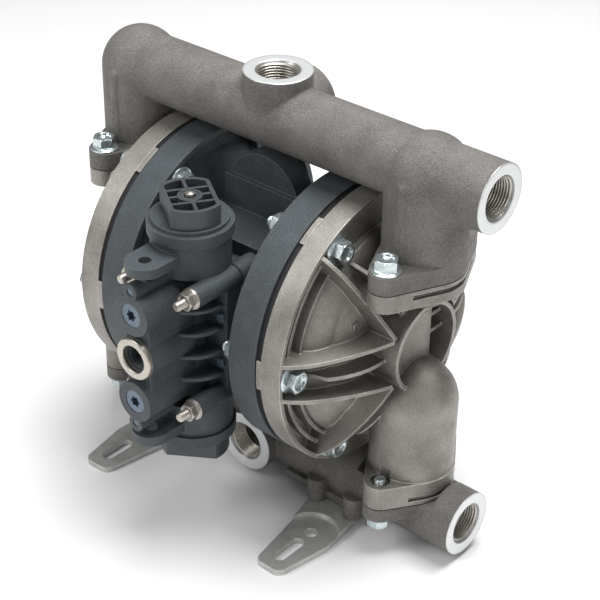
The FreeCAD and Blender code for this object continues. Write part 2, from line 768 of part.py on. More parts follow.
def discharge_manifold():
    """Upper casting: cross tube, domed legs, top port and right port."""
    tube = cylinder("Dim.tube_rad", "Dim.leg_x + Dim.upper_right_face", "-Dim.leg_x", "0", UPPER_Z, "X")
    crown_z = "%s - 2.5" % UPPER_Z
    legs = manifold_legs("Dim.seam_up_z", "%s - 2.5 - Dim.seam_up_z" % UPPER_Z)
    crowns = [sphere("Dim.leg_rad", "%sDim.leg_x" % sign, "0", crown_z) for sign in ("", "-")]
    flanges = [oval_flange("%sDim.leg_x" % sign, "Dim.leg_rad", "Dim.upper_bolt_y", "Dim.flange_end_rad",
                           "Dim.upper_flange_thick", "Dim.seam_up_z") for sign in ("", "-")]
    top_boss = cylinder("Dim.port_rad", "Dim.top_face - Dim.axis_z - Dim.port_rise", "1.5", "0", UPPER_Z)
    rear_boss = cylinder("Dim.port_rad", "Dim.rear_boss_face", "0", "0", UPPER_Z, "Y")
    ridges = []
    for sign in ("", "-"):
        for side in ("-", ""):
            ridges.append(cylinder("Dim.ridge_rad", "Dim.ridge_tall", "%sDim.leg_x" % sign,
                                   "%s(Dim.leg_rad - Dim.ridge_rad + 2.2)" % side, "Dim.seam_up_z"))
            ridges.append(sphere("Dim.ridge_rad", "%sDim.leg_x" % sign,
                                 "%s(Dim.leg_rad - Dim.ridge_rad + 2.2)" % side,
                                 "Dim.seam_up_z + Dim.ridge_tall"))
    outside = fuse([tube, top_boss, rear_boss, cluster(legs), cluster(crowns), cluster(flanges),
                    cluster(ridges[0::2]), cluster(ridges[1::2])])
    flow = fuse([cylinder("Dim.flow_bore", "Dim.leg_x + Dim.upper_right_face - 10", "-Dim.leg_x", "0",
                          UPPER_Z, "X"),
                 cylinder("Dim.flow_bore", "Dim.top_face - (%s) - 10" % UPPER_Z, "1.5", "0", UPPER_Z)])
    threads = cluster([
        cylinder("Dim.port_bore", "Dim.thread_deep + 1", "Dim.upper_right_face - Dim.thread_deep", "0",
                 UPPER_Z, "X"),
        cylinder("Dim.port_bore", "Dim.thread_deep + 1", "1.5", "0", "Dim.top_face - Dim.thread_deep")])
    mouths = cluster([
        cone("Dim.port_bore", "Dim.port_mouth", "3", "Dim.upper_right_face - 3", "0", UPPER_Z, "X"),
        cone("Dim.port_bore", "Dim.port_mouth", "3", "1.5", "0", "Dim.top_face - 3")])
    hollows = [flow, threads, mouths]
    for sign in ("", "-"):
        x = "%sDim.leg_x" % sign
        hollows.append(cylinder("Dim.chamber_rad", "%s - Dim.seam_up_z + 1" % UPPER_Z, x, "0",
                                "Dim.seam_up_z - 1"))
        hollows.append(sphere("Dim.chamber_rad", x, "0", UPPER_Z))
        hollows.append(cylinder("Dim.seat_pocket_rad", "Dim.seat_sink + 1", x, "0", "Dim.seam_up_z - 1"))
        for side in ("", "-"):
            y = "%sDim.upper_bolt_y" % side
            hollows.append(cylinder("Dim.bolt_hole", "30", x, y, "Dim.seam_up_z - 5"))
            hollows.append(cylinder("Dim.bolt_flange_rad + 0.8", "30", x, y,
                                    "Dim.seam_up_z + Dim.upper_flange_thick"))
    hollowed = cut(outside, hollows)
    cages = []
    for sign, name in (("", "right_discharge_cage"), ("-", "left_discharge_cage")):
        x = "%sDim.leg_x" % sign
        cage = ball_cage(x, "Dim.seam_up_z + Dim.seat_sink", name)
        room = cylinder("Dim.chamber_rad + 1", "60", x, "0", "Dim.seam_up_z")
        cages.append(common(cage, room))
    return fuse([hollowed] + cages)


label(discharge_manifold(), "discharge_manifold")


def suction_manifold():
    """Lower casting: cross tube, flanges, front port, right port and foot lugs."""
    tube = cylinder("Dim.tube_rad", "Dim.leg_x + Dim.lower_right_face", "-Dim.leg_x", "0", LOWER_Z, "X")
    front_boss = cylinder("Dim.port_rad", "Dim.front_face", "0", "-Dim.front_face", LOWER_Z, "Y")
    above = cluster([block("2 * (Dim.dome_rad + 3)", "120", "30", "%sDim.leg_x" % sign, "0",
                           "Dim.seam_low_z") for sign in ("", "-")])
    outside = cut(fuse([tube, front_boss] + [low_leg(sign) for sign in ("", "-")]), [above])
    bores = fuse([
        cylinder("Dim.flow_bore", "Dim.leg_x + Dim.lower_right_face - 10", "-Dim.leg_x", "0", LOWER_Z, "X"),
        cylinder("Dim.flow_bore", "Dim.front_face - 10", "0", "-Dim.front_face + 10", LOWER_Z, "Y"),
        cluster([cylinder("Dim.port_bore", "Dim.seam_low_z - (%s) + 1" % LOWER_Z, "%sDim.leg_x" % sign, "0",
                          LOWER_Z)
                 for sign in ("", "-")])])
    seat_pockets = cluster([cylinder("Dim.seat_pocket_rad", "Dim.seat_sink + 1", "%sDim.leg_x" % sign, "0",
                                     "Dim.seam_low_z - Dim.seat_sink") for sign in ("", "-")])
    threads = cluster([
        cylinder("Dim.port_bore", "Dim.thread_deep + 1", "Dim.lower_right_face - Dim.thread_deep", "0",
                 LOWER_Z, "X"),
        cylinder("Dim.port_bore", "Dim.front_thread_deep + 1", "0", "-Dim.front_face - 1", LOWER_Z, "Y")])
    mouths = cluster([
        cone("Dim.port_bore", "Dim.port_mouth", "3", "Dim.lower_right_face - 3", "0", LOWER_Z, "X"),
        cone("Dim.port_mouth", "Dim.port_bore", "3", "0", "-Dim.front_face", LOWER_Z, "Y")])
    return cut(outside, [bores, threads, mouths, seat_pockets])


def low_leg(sign):
    """One end of the lower casting: bowl, flange with its bolt holes, and four foot lugs."""
    x = "%sDim.leg_x" % sign
    leg = cylinder("Dim.leg_rad", "Dim.seam_low_z - (%s)" % LOWER_Z, x, "0", LOWER_Z)
    bowl = sphere("Dim.leg_rad - 2", x, "0", "%s + 4.5" % LOWER_Z)
    flange = oval_flange(x, "Dim.dome_rad + 1", "Dim.lower_bolt_y", "Dim.flange_end_rad",
                         "Dim.lower_flange_thick", "Dim.seam_low_z - Dim.lower_flange_thick")
    holes = []
    for side in ("", "-"):
        y = "%sDim.lower_bolt_y" % side
        holes.append(cylinder("Dim.bolt_hole", "30", x, y, "Dim.seam_low_z - 20"))
        holes.append(cylinder("Dim.bolt_flange_rad + 0.8", "30", x, y,
                              "Dim.seam_low_z - Dim.lower_flange_thick - 30"))
    end = cut(fuse([leg, bowl, flange]), [cluster(holes[0::2]), cluster(holes[1::2])])
    feet = [foot_lug(sign, lug, screw, side) for side in ("", "-")
            for lug, screw in (("Dim.lug_inner_x", "Dim.foot_screw_in"),
                               ("Dim.lug_outer_x", "Dim.foot_screw_out"))]
    rails = cluster([block("Dim.rail_end_x - Dim.rail_start_x", "Dim.rail_wide",
                           "Dim.rail_top_z - Dim.rail_foot_z",
                           "%s(Dim.rail_end_x + Dim.rail_start_x) / 2" % sign, "%sDim.rail_y" % side,
                           "Dim.rail_foot_z") for side in ("", "-")])
    lugs = cluster([lug for lug, hole in feet])
    holes = cluster([hole for lug, hole in feet])
    return cut(fuse([end, rails, lugs]), [holes])


def foot_lug(sign, lug_x, screw_x, side):
    """Half-round lug that stands on a foot, and the hole for its screw."""
    x = "%s%s" % (sign, lug_x)
    y = "%sDim.lug_y" % side
    nose = cylinder("Dim.lug_rad", "Dim.lug_top_z - Dim.foot_root_z", x, y, "Dim.foot_root_z")
    root = block("2 * Dim.lug_rad", "Dim.lug_y - 15", "Dim.lug_top_z - Dim.foot_root_z", x,
                 "%s(Dim.lug_y + 15) / 2" % side, "Dim.foot_root_z")
    hole = cylinder("Dim.foot_screw_rad + Dim.fit", "12.5", "%s%s" % (sign, screw_x), y,
                    "Dim.foot_root_z - 1")
    return fuse([nose, root]), hole


label(suction_manifold(), "suction_manifold")


def air_chamber():
    """Right end of the centre casing: dished disc, six nut bosses and the bores of both rods."""
    disc = turned("chamber_disc", [
        ("Dim.block_half_x + Dim.lap", "0"),
        ("Dim.block_half_x + Dim.lap", "Dim.web_rad"),
        ("40", "Dim.web_rad + 4"),
        ("50", "Dim.web_rad + 22"),
        ("64", "92"),
        ("66", "Dim.disc_rad - 6.2"),
        ("Dim.disc_back_x", "Dim.disc_rad - 4.5"),
        ("Dim.disc_back_x", "Dim.disc_rad"),
        ("Dim.disc_face_x", "Dim.disc_rad"),
        ("Dim.disc_face_x", "Dim.air_mouth_rad"),
        ("70", "Dim.air_mouth_rad - 6"),
        ("Dim.air_floor_x", "64"),
        ("Dim.air_floor_x", "0"),
    ], z="Dim.axis_z")
    bosses, bolt_holes = [], []
    for angle in spokes():
        y, z = on_circle(value_of("Dim.bolt_circle"), angle)
        bosses.append(cylinder("11", "76 - Dim.disc_back_x", "Dim.disc_back_x", str(y), str(z), "X"))
        bolt_holes.append(cylinder("Dim.bolt_hole", "60", "40", str(y), str(z), "X"))
    bores = cluster([cylinder("Dim.bush_rad", "60", "20", "0", "Dim.axis_z", "X"),
                     cylinder("Dim.pilot_sleeve_rad", "60", "20", "0", "Dim.axis_z + Dim.pilot_rise", "X")])
    return cut(fuse([disc] + bosses), [bores, cluster(bolt_holes)])


def motor_block():
    """Air motor between the discs, with the valve pad, the arch and the exhaust boss."""
    core = cylinder("Dim.web_rad + 4", "2 * Dim.block_half_x", "-Dim.block_half_x", "0", "Dim.axis_z", "X")
    block_front = block("2 * Dim.block_half_x", "44", "2 * Dim.block_half_z", "0", "-36",
                        "Dim.axis_z - Dim.block_half_z")
    valve_pad = block("2 * Dim.pad_half_x", "Dim.pad_y - 40", "2 * Dim.pad_half_z", "0",
                      "-(Dim.pad_y + 40) / 2", "Dim.axis_z - Dim.pad_half_z")
    stud_tubes, stud_holes = [], []
    for sign in ("", "-"):
        for rise in ("", "-"):
            x = "%sDim.stud_x" % sign
            z = "Dim.axis_z + %sDim.stud_rise" % rise
            stud_tubes.append(cylinder("Dim.stud_tube_rad", "Dim.pad_y - 40", x, "-Dim.pad_y", z, "Y"))
            stud_holes.append(cylinder("Dim.stud_rad + Dim.fit", "24", x, "-Dim.pad_y - 1", z, "Y"))
    web = block("2 * Dim.pad_half_x", "4", "Dim.web_top_z - Dim.axis_z", "0", "-16", "Dim.axis_z")
    arch = cylinder("Dim.arch_rad", "Dim.arch_deep", "0", "-14", "Dim.arch_z", "Y")
    arch_hollow = cylinder("Dim.arch_rad - 6.8", "Dim.arch_deep", "0", "-10", "Dim.arch_z", "Y")
    arch_foot = block("2 * Dim.arch_rad", "Dim.arch_deep", "Dim.arch_z - 215", "0",
                      "-14 + Dim.arch_deep / 2", "215")
    brace = block("2 * Dim.brace_half_x", "4", "10", "0", "-16", "Dim.axis_z + Dim.block_half_z - 10")
    rear = block("2 * Dim.pad_half_x", "54", "90", "0", "13", "Dim.axis_z - 45")
    exhaust = cylinder("Dim.exhaust_rad", "Dim.exhaust_face - 30", "0", "30", "Dim.axis_z", "Y")
    solid = fuse([core, block_front, valve_pad, cluster(stud_tubes), web, arch, arch_foot, brace, rear,
                  exhaust])
    return cut(solid, [
        arch_hollow,
        cylinder("Dim.bush_rad", "100", "-50", "0", "Dim.axis_z", "X"),
        cylinder("Dim.pilot_sleeve_rad", "100", "-50", "0", "Dim.axis_z + Dim.pilot_rise", "X"),
        cylinder("Dim.exhaust_bore", "31", "0", "Dim.exhaust_face - 30", "Dim.axis_z", "Y"),
        cone("Dim.exhaust_bore", "Dim.exhaust_bore + 2", "3", "0", "Dim.exhaust_face - 3", "Dim.axis_z",
             "Y"),
        cluster(stud_holes),
    ])


chamber = label(air_chamber(), "right_air_chamber")
label(mirror(chamber, (1, 0, 0)), "left_air_chamber")
label(motor_block(), "motor_block")


def both_sides(thing, name):
    """Keep a right-hand sub-part and its mirror image on the left."""
    label(thing, "right_%s" % name)
    label(mirror(thing, (1, 0, 0)), "left_%s" % name)


def diaphragm():
    """Moulded diaphragm: clamped rim with bolt holes, convolution and centre."""
    disc = turned("diaphragm_disc", [
        ("Dim.disc_face_x + Dim.lap", "Dim.diaphragm_rad"),
        ("Dim.cover_back_x - Dim.lap", "Dim.diaphragm_rad"),
        ("Dim.cover_back_x - Dim.lap", "86"),
        ("88", "74"),
        ("Dim.plate_seat_x + Dim.diaphragm_thick", "60"),
        ("Dim.plate_seat_x + Dim.diaphragm_thick", "Dim.hub_hole_rad"),
        ("Dim.plate_seat_x", "Dim.hub_hole_rad"),
        ("Dim.plate_seat_x", "62"),
        ("83.6", "74"),
        ("Dim.disc_face_x + Dim.lap", "86"),
    ], z="Dim.axis_z")
    holes = []
    for angle in spokes():
        y, z = on_circle(value_of("Dim.bolt_circle"), angle)
        holes.append(cylinder("Dim.bolt_hole", "10", "78", str(y), str(z), "X"))
    return cut(disc, [cluster(holes)])


both_sides(diaphragm(), "diaphragm")
both_sides(turned("outer_plate", [
    ("Dim.plate_seat_x + Dim.diaphragm_thick + Dim.lap", "Dim.rod_rad + 0.3"),
    ("Dim.plate_seat_x + Dim.diaphragm_thick + Dim.lap", "Dim.plate_rad - 3"),
    ("Dim.plate_seat_x + Dim.diaphragm_thick + 3", "Dim.plate_rad"),
    ("Dim.plate_seat_x + Dim.diaphragm_thick + 7", "Dim.plate_rad - 5"),
    ("Dim.outer_plate_x", "22"),
    ("Dim.outer_plate_x", "0"),
    ("Dim.rod_half + 0.3", "0"),
    ("Dim.rod_half + 0.3", "Dim.rod_rad + 0.3"),
], z="Dim.axis_z"), "outer_plate")
both_sides(turned("inner_plate", [
    ("Dim.inner_plate_x", "Dim.rod_rad + 0.3"),
    ("Dim.inner_plate_x", "36"),
    ("Dim.plate_seat_x - 4", "Dim.plate_rad + 1"),
    ("Dim.plate_seat_x - Dim.lap", "Dim.plate_rad - 1"),
    ("Dim.plate_seat_x - Dim.lap", "Dim.rod_rad + 0.3"),
], z="Dim.axis_z"), "inner_plate")
label(cylinder("Dim.rod_rad", "2 * Dim.rod_half", "-Dim.rod_half", "0", "Dim.axis_z", "X"), "centre_rod")
both_sides(turned("rod_bush", [
    ("38", "Dim.rod_rad + Dim.rod_clear"),
    ("38", "Dim.bush_rad - 0.05"),
    ("55.5", "Dim.bush_rad - 0.05"),
    ("55.5", "Dim.rod_rad + Dim.rod_clear"),
], z="Dim.axis_z"), "rod_bush")
both_sides(turned("rod_seal", [
    ("55.8", "Dim.rod_rad + Dim.rod_clear"),
    ("55.8", "Dim.bush_rad - 0.05"),
    ("Dim.air_floor_x - 0.1", "Dim.bush_rad - 0.05"),
    ("Dim.air_floor_x - 0.1", "Dim.rod_rad + Dim.rod_clear"),
], z="Dim.axis_z"), "rod_seal")
label(cylinder("Dim.pilot_rad", "2 * Dim.pilot_half", "-Dim.pilot_half", "0",
               "Dim.axis_z + Dim.pilot_rise", "X"), "pilot_rod")
label(turned("pilot_sleeve", [
    ("-30", "Dim.pilot_rad + Dim.rod_clear"),
    ("-30", "Dim.pilot_sleeve_rad - 0.05"),
    ("30", "Dim.pilot_sleeve_rad - 0.05"),
    ("30", "Dim.pilot_rad + Dim.rod_clear"),
], z="Dim.axis_z + Dim.pilot_rise"), "pilot_sleeve")


def seat(name, x, seam):
    """Ring seat that straddles a flange seam, with a bevel for its ball."""
    return turned(name, [
        ("Dim.seat_bore", "-Dim.seat_sink + 0.05"),
        ("Dim.seat_rad", "-Dim.seat_sink + 0.05"),
        ("Dim.seat_rad", "Dim.seat_sink - 0.05"),
        ("Dim.seat_bore + 2.4", "Dim.seat_sink - 0.05"),
        ("Dim.seat_bore", "Dim.seat_sink - 3"),
    ], axis="Z", x=x, z=seam)


for side_name, sign in (("right", ""), ("left", "-")):
    leg_x = "%sDim.leg_x" % sign
    for role, seam in (("suction", "Dim.seam_low_z"), ("discharge", "Dim.seam_up_z")):
        label(seat("%s_seat" % role, leg_x, seam), "%s_%s_seat" % (side_name, role))
        label(sphere("Dim.ball_rad", leg_x, "0", "%s + Dim.ball_rise" % seam),
              "%s_%s_ball" % (side_name, role))


def valve_body():
    """Finned air valve: two heads, four fins, port column, ears and stud bosses."""
    z = VALVE_Z
    y = "-Dim.valve_y"
    barrel = cylinder("Dim.barrel_rad", "2 * Dim.head_foot_rise + 2", "0", y,
                      "%s - Dim.head_foot_rise - 1" % z)
    fins = [cylinder("Dim.fin_rad", "3", "0", y, "%s + %s - 1.5" % (z, rise))
            for rise in ("-3 * Dim.fin_pitch / 2", "-Dim.fin_pitch / 2", "Dim.fin_pitch / 2",
                         "3 * Dim.fin_pitch / 2")]
    parts = [barrel, cluster(fins)]
    for low, high, radius in (("Dim.head_foot_rise", "Dim.collar_rise - 8", "Dim.head_rad"),
                              ("Dim.collar_rise - 8", "Dim.collar_rise + 1", "Dim.collar_rad"),
                              ("Dim.collar_rise + 1", "Dim.collar_rise + 4.5", "Dim.head_rad - 1")):
        height = "%s - (%s)" % (high, low)
        parts.append(cluster([cylinder(radius, height, "0", y, "%s + %s" % (z, low)),
                              cylinder(radius, height, "0", y, "%s - (%s)" % (z, high))]))
    parts.append(block("2 * Dim.pad_half_x - 2", "Dim.valve_plate_y - Dim.pad_y", "2 * Dim.pad_half_z", "0",
                       "-(Dim.valve_plate_y + Dim.pad_y) / 2", "%s - Dim.pad_half_z" % z))
    parts.append(block("24", "Dim.valve_face_y - Dim.valve_y - 6", "2 * Dim.plug_rise", "0",
                       "-(Dim.valve_face_y + Dim.valve_y - 6) / 2", "%s - Dim.plug_rise" % z))
    parts.append(cluster([cylinder("Dim.inlet_boss_rad", "45", "0",
                                   "-Dim.valve_face_y + Dim.inlet_ring_deep", z, "Y")]
                         + [cylinder("Dim.plug_boss_rad", "55", "0", "-Dim.valve_face_y",
                                     "%s + %sDim.plug_rise" % (z, sign), "Y") for sign in ("", "-")]))
    parts.append(cluster([cylinder("Dim.set_boss_rad", "45", "0", "-Dim.valve_face_y",
                                   "%s + %sDim.set_screw_rise" % (z, sign), "Y") for sign in ("", "-")]))
    ears = ("Dim.ear_rise - 8", "-Dim.ear_rise")
    parts.append(cluster([cylinder("Dim.ear_rad", "8", "0", "-Dim.ear_y", "%s + %s" % (z, low))
                          for low in ears]))
    parts.append(cluster([block("2 * Dim.ear_rad", "Dim.ear_y - Dim.valve_y", "8", "0",
                                "-(Dim.ear_y + Dim.valve_y) / 2", "%s + %s" % (z, low)) for low in ears]))
    parts.append(cluster([cylinder("Dim.stud_boss_rad", "Dim.stud_boss_y - Dim.pad_y",
                                   "%sDim.stud_x" % sign, "-Dim.stud_boss_y",
                                   "%s + %sDim.stud_rise" % (z, rise), "Y")
                          for sign in ("", "-") for rise in ("", "-")]))
    solid = fuse(parts)
    hollows = [cylinder("Dim.sleeve_bore", "2 * Dim.collar_rise", "0", y, "%s - Dim.collar_rise" % z),
               cluster([cylinder("Dim.head_bore", "Dim.collar_rise - 62", "0", y, "%s + %s" % (z, low))
                        for low in ("72", "-Dim.collar_rise - 10")]),
               cylinder("Dim.inlet_bore", "Dim.inlet_thread_deep + 1", "0",
                        "-Dim.valve_face_y + Dim.inlet_ring_deep - 1", z, "Y"),
               cylinder("Dim.inlet_bore - 1", "40", "0", "-Dim.inlet_floor_y - 40", z, "Y"),
               cylinder("Dim.passage_rad", "Dim.inlet_floor_y - Dim.valve_y + 1", "0",
                        "-Dim.inlet_floor_y - 1", z, "Y"),
               cluster([cylinder("Dim.plug_rad + 0.05", "12", "0", "-Dim.valve_face_y",
                                 "%s + %sDim.plug_rise" % (z, sign), "Y") for sign in ("", "-")]
                       + [cylinder("Dim.set_screw_rad + 0.05", "12", "0", "-Dim.valve_face_y",
                                   "%s + %sDim.set_screw_rise" % (z, sign), "Y") for sign in ("", "-")]),
               cylinder("5", "2 * Dim.ear_rise + 2", "0", "-Dim.ear_y", "%s - Dim.ear_rise - 1" % z)]
    stud_holes = []
    for sign in ("", "-"):
        for rise in ("", "-"):
            stud_holes.append(cylinder("Dim.stud_rad + Dim.fit", "50", "%sDim.stud_x" % sign,
                                       "-Dim.stud_boss_y - 1", "%s + %sDim.stud_rise" % (z, rise), "Y"))
    back = block("80", "40", "2 * Dim.pad_half_z + 18", "0", "-Dim.pad_y + 19",
                 "%s - Dim.pad_half_z - 9" % z)
    return cut(solid, [back] + hollows + [cluster(stud_holes)])


label(valve_body(), "valve_body")


def valve_cap(bores):
    """End cap over the spool bore: flatted disc with an open grid, spigot and seal groove."""
    base = "Dim.cap_base_rise"
    deep = "Dim.cap_rise - %s" % base
    disc = cylinder("Dim.cap_rad", deep, "0", "0", base)
    keep = block("2 * Dim.cap_rad", "2 * Dim.cap_flat", deep, "0", "0", base)
    pocket = common(cylinder("Dim.cap_rad - Dim.cap_rim", "8", "0", "0", "Dim.cap_rise - 8"),
                    block("2 * Dim.cap_rad", "2 * (Dim.cap_flat - Dim.cap_rim)", "8", "0", "0",
                          "Dim.cap_rise - 8"))
    shell = cut(common(disc, keep), [pocket])
    long_bar = block("2 * Dim.cap_rad - 2", "Dim.cap_bar", "8", "0", "0", "Dim.cap_rise - 8.5")
    cross_bars = [block("Dim.cap_bar", "2 * Dim.cap_flat", "8", x, "0", "Dim.cap_rise - 8.5")
                  for x in ("-Dim.cap_bar_pitch", "0", "Dim.cap_bar_pitch")]
    grid = common(fuse([long_bar] + cross_bars), keep)
    hub = cylinder("Dim.cap_hub_rad", "8.2", "0", "0", "Dim.cap_rise - 8.5")
    spigot = cylinder("Dim.head_bore - 0.1", "%s - Dim.spigot_rise + 1" % base, "0", "0", "Dim.spigot_rise")
    groove = cut(cylinder("Dim.head_bore + 1", "2.2", "0", "0", "Dim.spigot_rise + 6"),
                 [cylinder("Dim.head_bore - 1.9", "2.2", "0", "0", "Dim.spigot_rise + 6")])
    cap = cut(fuse([shell, grid, hub, spigot]), [groove] + bores)
    doc.recompute()
    turned_cap = cap.Shape.copy()
    turned_cap.rotate(Vector(), Vector(0, 0, 1), value_of("Dim.cap_turn"))
    return turned_cap


def at_valve(name, shape, flip=False):
    """Sub-part drawn about the spool axis, set at the valve."""
    thing = doc.addObject("Part::Feature", name)
    thing.Shape = shape
    turn = Rotation(Vector(1, 0, 0), 180) if flip else Rotation()
    spot = Placement(Vector(0, -value_of("Dim.valve_y"), value_of(VALVE_Z)), turn)
    thing.Placement = spot.multiply(shape.Placement)
    return label(thing, name)


button_room = [cylinder("Dim.button_rad + 0.05", "60", "0", "0", "Dim.spigot_rise - 1"),
               cylinder("Dim.button_room_rad", "30", "0", "0", "Dim.spigot_rise + 6"),
               cylinder("Dim.button_guide_rad", "10", "0", "0", "Dim.cap_rise - 6")]
at_valve("valve_cap_top", valve_cap(button_room))
at_valve("valve_cap_bottom", valve_cap([]), flip=True)


def shape_of(thing):
    """Shape of an object after a recompute."""
    doc.recompute()
    return thing.Shape.copy()


at_valve("reset_button", shape_of(turned("button_pin", [
    ("0", "Dim.spigot_rise + 2"),
    ("Dim.button_rad", "Dim.spigot_rise + 2"),
    ("Dim.button_rad", "Dim.cap_rise - 9.5"),
    ("Dim.button_room_rad - 0.4", "Dim.cap_rise - 9.5"),
    ("Dim.button_room_rad - 0.4", "Dim.cap_rise - 6.3"),
    ("Dim.button_rad", "Dim.cap_rise - 6.3"),
    ("Dim.button_rad", "Dim.cap_rise + 1.5"),
    ("0", "Dim.cap_rise + 2.5"),
], axis="Z")))
at_valve("button_guide", shape_of(turned("guide_ring", [
    ("Dim.button_rad + 0.9", "Dim.cap_rise - 5.9"),
    ("Dim.button_guide_rad - 0.05", "Dim.cap_rise - 5.9"),
    ("Dim.button_guide_rad - 0.05", "Dim.cap_rise - 0.8"),
    ("Dim.button_rad + 0.9", "Dim.cap_rise - 0.8"),
], axis="Z")))


def spring():
    """Return spring under the button's collar."""
    low = value_of("Dim.spigot_rise") + 7
    high = value_of("Dim.cap_rise") - 10.2
    wire = value_of("Dim.spring_wire_rad")
    coil = value_of("Dim.button_rad") + 1.3
    helix = Part.makeHelix((high - low) / 5, high - low, coil)
    helix.translate(Vector(0, 0, low))
    profile = Part.Wire(Part.makeCircle(wire, Vector(coil, 0, low), Vector(0, 1, 0)))
    return Part.Wire(helix.Edges).makePipeShell([profile], True, True)


at_valve("reset_spring", spring())
seal_major = value_of("Dim.head_bore") - 1
cap_rings = []
for side in (-1, 1):
    height = side * (value_of("Dim.spigot_rise") + 7.1)
    cap_rings.append(Part.makeTorus(seal_major, 0.85, Vector(0, 0, height)))
at_valve("cap_seals", Part.makeCompound(cap_rings))
sleeve = turned("sleeve_tube", [
    ("Dim.spool_rad + 0.05", "-Dim.sleeve_half"),
    ("Dim.sleeve_bore - 0.1", "-Dim.sleeve_half"),
    ("Dim.sleeve_bore - 0.1", "Dim.sleeve_half"),
    ("Dim.spool_rad + 0.05", "Dim.sleeve_half"),
], axis="Z")
at_valve("valve_sleeve", shape_of(cut(sleeve, [cylinder("Dim.passage_rad", "20", "0", "-20", "0", "Y")])))
at_valve("main_spool", shape_of(turned("spool_body", [
    ("0", "-Dim.spool_half - Dim.spool_travel / 2"),
    ("Dim.spool_rad - 2", "-Dim.spool_half - Dim.spool_travel / 2"),
    ("Dim.spool_rad - 2", "-Dim.sleeve_half + 10"),
    ("Dim.spool_rad", "-Dim.sleeve_half + 10"),
    ("Dim.spool_rad", "-30"),
    ("Dim.spool_neck_rad", "-30"),
    ("Dim.spool_neck_rad", "-14"),
    ("Dim.spool_rad", "-14"),
    ("Dim.spool_rad", "2"),
    ("Dim.spool_neck_rad", "2"),
    ("Dim.spool_neck_rad", "18"),
    ("Dim.spool_rad", "18"),
    ("Dim.spool_rad", "Dim.sleeve_half - 22"),
    ("Dim.spool_rad - 2", "Dim.sleeve_half - 22"),
    ("Dim.spool_rad - 2", "Dim.spool_half - Dim.spool_travel / 2"),
    ("0", "Dim.spool_half - Dim.spool_travel / 2"),
], axis="Z")))


def inlet_ring():
    """Ring that stands on the boss of the air inlet."""
    front = "-Dim.valve_face_y - 0.2"
    deep = "Dim.inlet_ring_deep + 0.15"
    return cut(cylinder("Dim.inlet_ring_rad", deep, "0", front, VALVE_Z, "Y"),
               [cylinder("Dim.inlet_bore + 0.5", deep, "0", front, VALVE_Z, "Y")])


label(inlet_ring(), "air_inlet_ring")


def valve_plugs():
    """Two plugs with star sockets in the bosses over and under the inlet."""
    plugs = []
    for sign in ("", "-"):
        rise = "%s + %sDim.plug_rise" % (VALVE_Z, sign)
        body = cylinder("Dim.plug_rad", "11", "0", "-Dim.valve_face_y + 0.5", rise, "Y")
        socket = [cylinder("Dim.star_rad", "4.5", "0", "-Dim.valve_face_y + 0.5", rise, "Y")]
        for k in range(6):
            x = value_of("Dim.star_rad") * math.cos(math.radians(60 * k))
            z = value_of("Dim.star_rad") * math.sin(math.radians(60 * k))
            socket.append(cylinder("Dim.star_lobe_rad", "4.5", str(x), "-Dim.valve_face_y + 0.5",
                                   "%s + %s" % (rise, z), "Y"))
        plugs.append(cut(body, socket))
    return cluster(plugs)


label(valve_plugs(), "valve_plugs")
label(cluster([cylinder("Dim.set_screw_rad", "10", "0", "-Dim.valve_face_y + 0.8",
                        "%s + %sDim.set_screw_rise" % (VALVE_Z, sign), "Y") for sign in ("", "-")]),
      "valve_set_screws")


def stud_spots():
    """X and Z of the four valve studs."""
    x = value_of("Dim.stud_x")
    z = value_of(VALVE_Z)
    rise = value_of("Dim.stud_rise")
    return [(x, z + rise), (-x, z + rise), (-x, z - rise), (x, z - rise)]


def valve_gasket():
    """Flat gasket between the valve plate and the motor block."""
    sheet_part = block("2 * Dim.pad_half_x - 2", "0.9", "2 * Dim.pad_half_z", "0", "-Dim.pad_y - 0.5",
                       "%s - Dim.pad_half_z" % VALVE_Z)
    ears = [cylinder("Dim.stud_tube_rad - 0.2", "0.9", str(x), "-Dim.pad_y - 0.95", str(z), "Y")
            for x, z in stud_spots()]
    holes = [cylinder("Dim.stud_rad + Dim.fit", "4", str(x), "-Dim.pad_y - 3", str(z), "Y")
             for x, z in stud_spots()]
    return cut(fuse([sheet_part, cluster(ears)]), [cluster(holes)])


label(valve_gasket(), "valve_gasket")
label(cluster([cylinder("Dim.stud_rad", "Dim.stud_tip_y - Dim.stud_root_y", str(x), "-Dim.stud_tip_y",
                        str(z), "Y")
               for x, z in stud_spots()]), "valve_studs")
FRONT = Vector(0, -1, 0)
nut = flange_nut(value_of("Dim.stud_rad") + 0.1, 8.6, 13, 8.5)
label(group("valve_nuts", [to_direction(nut, x, -value_of("Dim.stud_boss_y") - 0.05, z, FRONT)
                           for x, z in stud_spots()]), "valve_nuts")


def plate_screws():
    """Four small cap screws beside the fins."""
    screws = []
    for sx in (-1, 1):
        for sz in (-1, 1):
            screws.append(Part.makeCylinder(3.4, 3.4, Vector(sx * 31, -97.5, value_of(VALVE_Z) + sz * 20),
                                            Vector(0, 1, 0)))
    return group("small_screws", screws)


label(plate_screws(), "valve_plate_screws")


def cover_fasteners(sign):
    """Bolts through one cover and the nuts behind its disc."""
    out = Vector(sign, 0, 0)
    rad = value_of("Dim.bolt_rad")
    reach = value_of("Dim.cover_pad_x") - value_of("Dim.cover_bolt_tip_x")
    bolt = flange_bolt(reach, rad, value_of("Dim.bolt_flange_rad"), value_of("Dim.bolt_across_flats"))
    lock = flange_nut(rad + 0.1, value_of("Dim.bolt_flange_rad"), value_of("Dim.bolt_across_flats"))
    bolts, nuts = [], []
    for angle in spokes():
        y, z = on_circle(value_of("Dim.bolt_circle"), angle)
        bolts.append(to_direction(bolt, sign * (value_of("Dim.cover_pad_x") + 0.05), y, z, out))
        nuts.append(to_direction(lock, sign * (value_of("Dim.disc_back_x") - 0.05), y, z, out * -1))
    return bolts, nuts


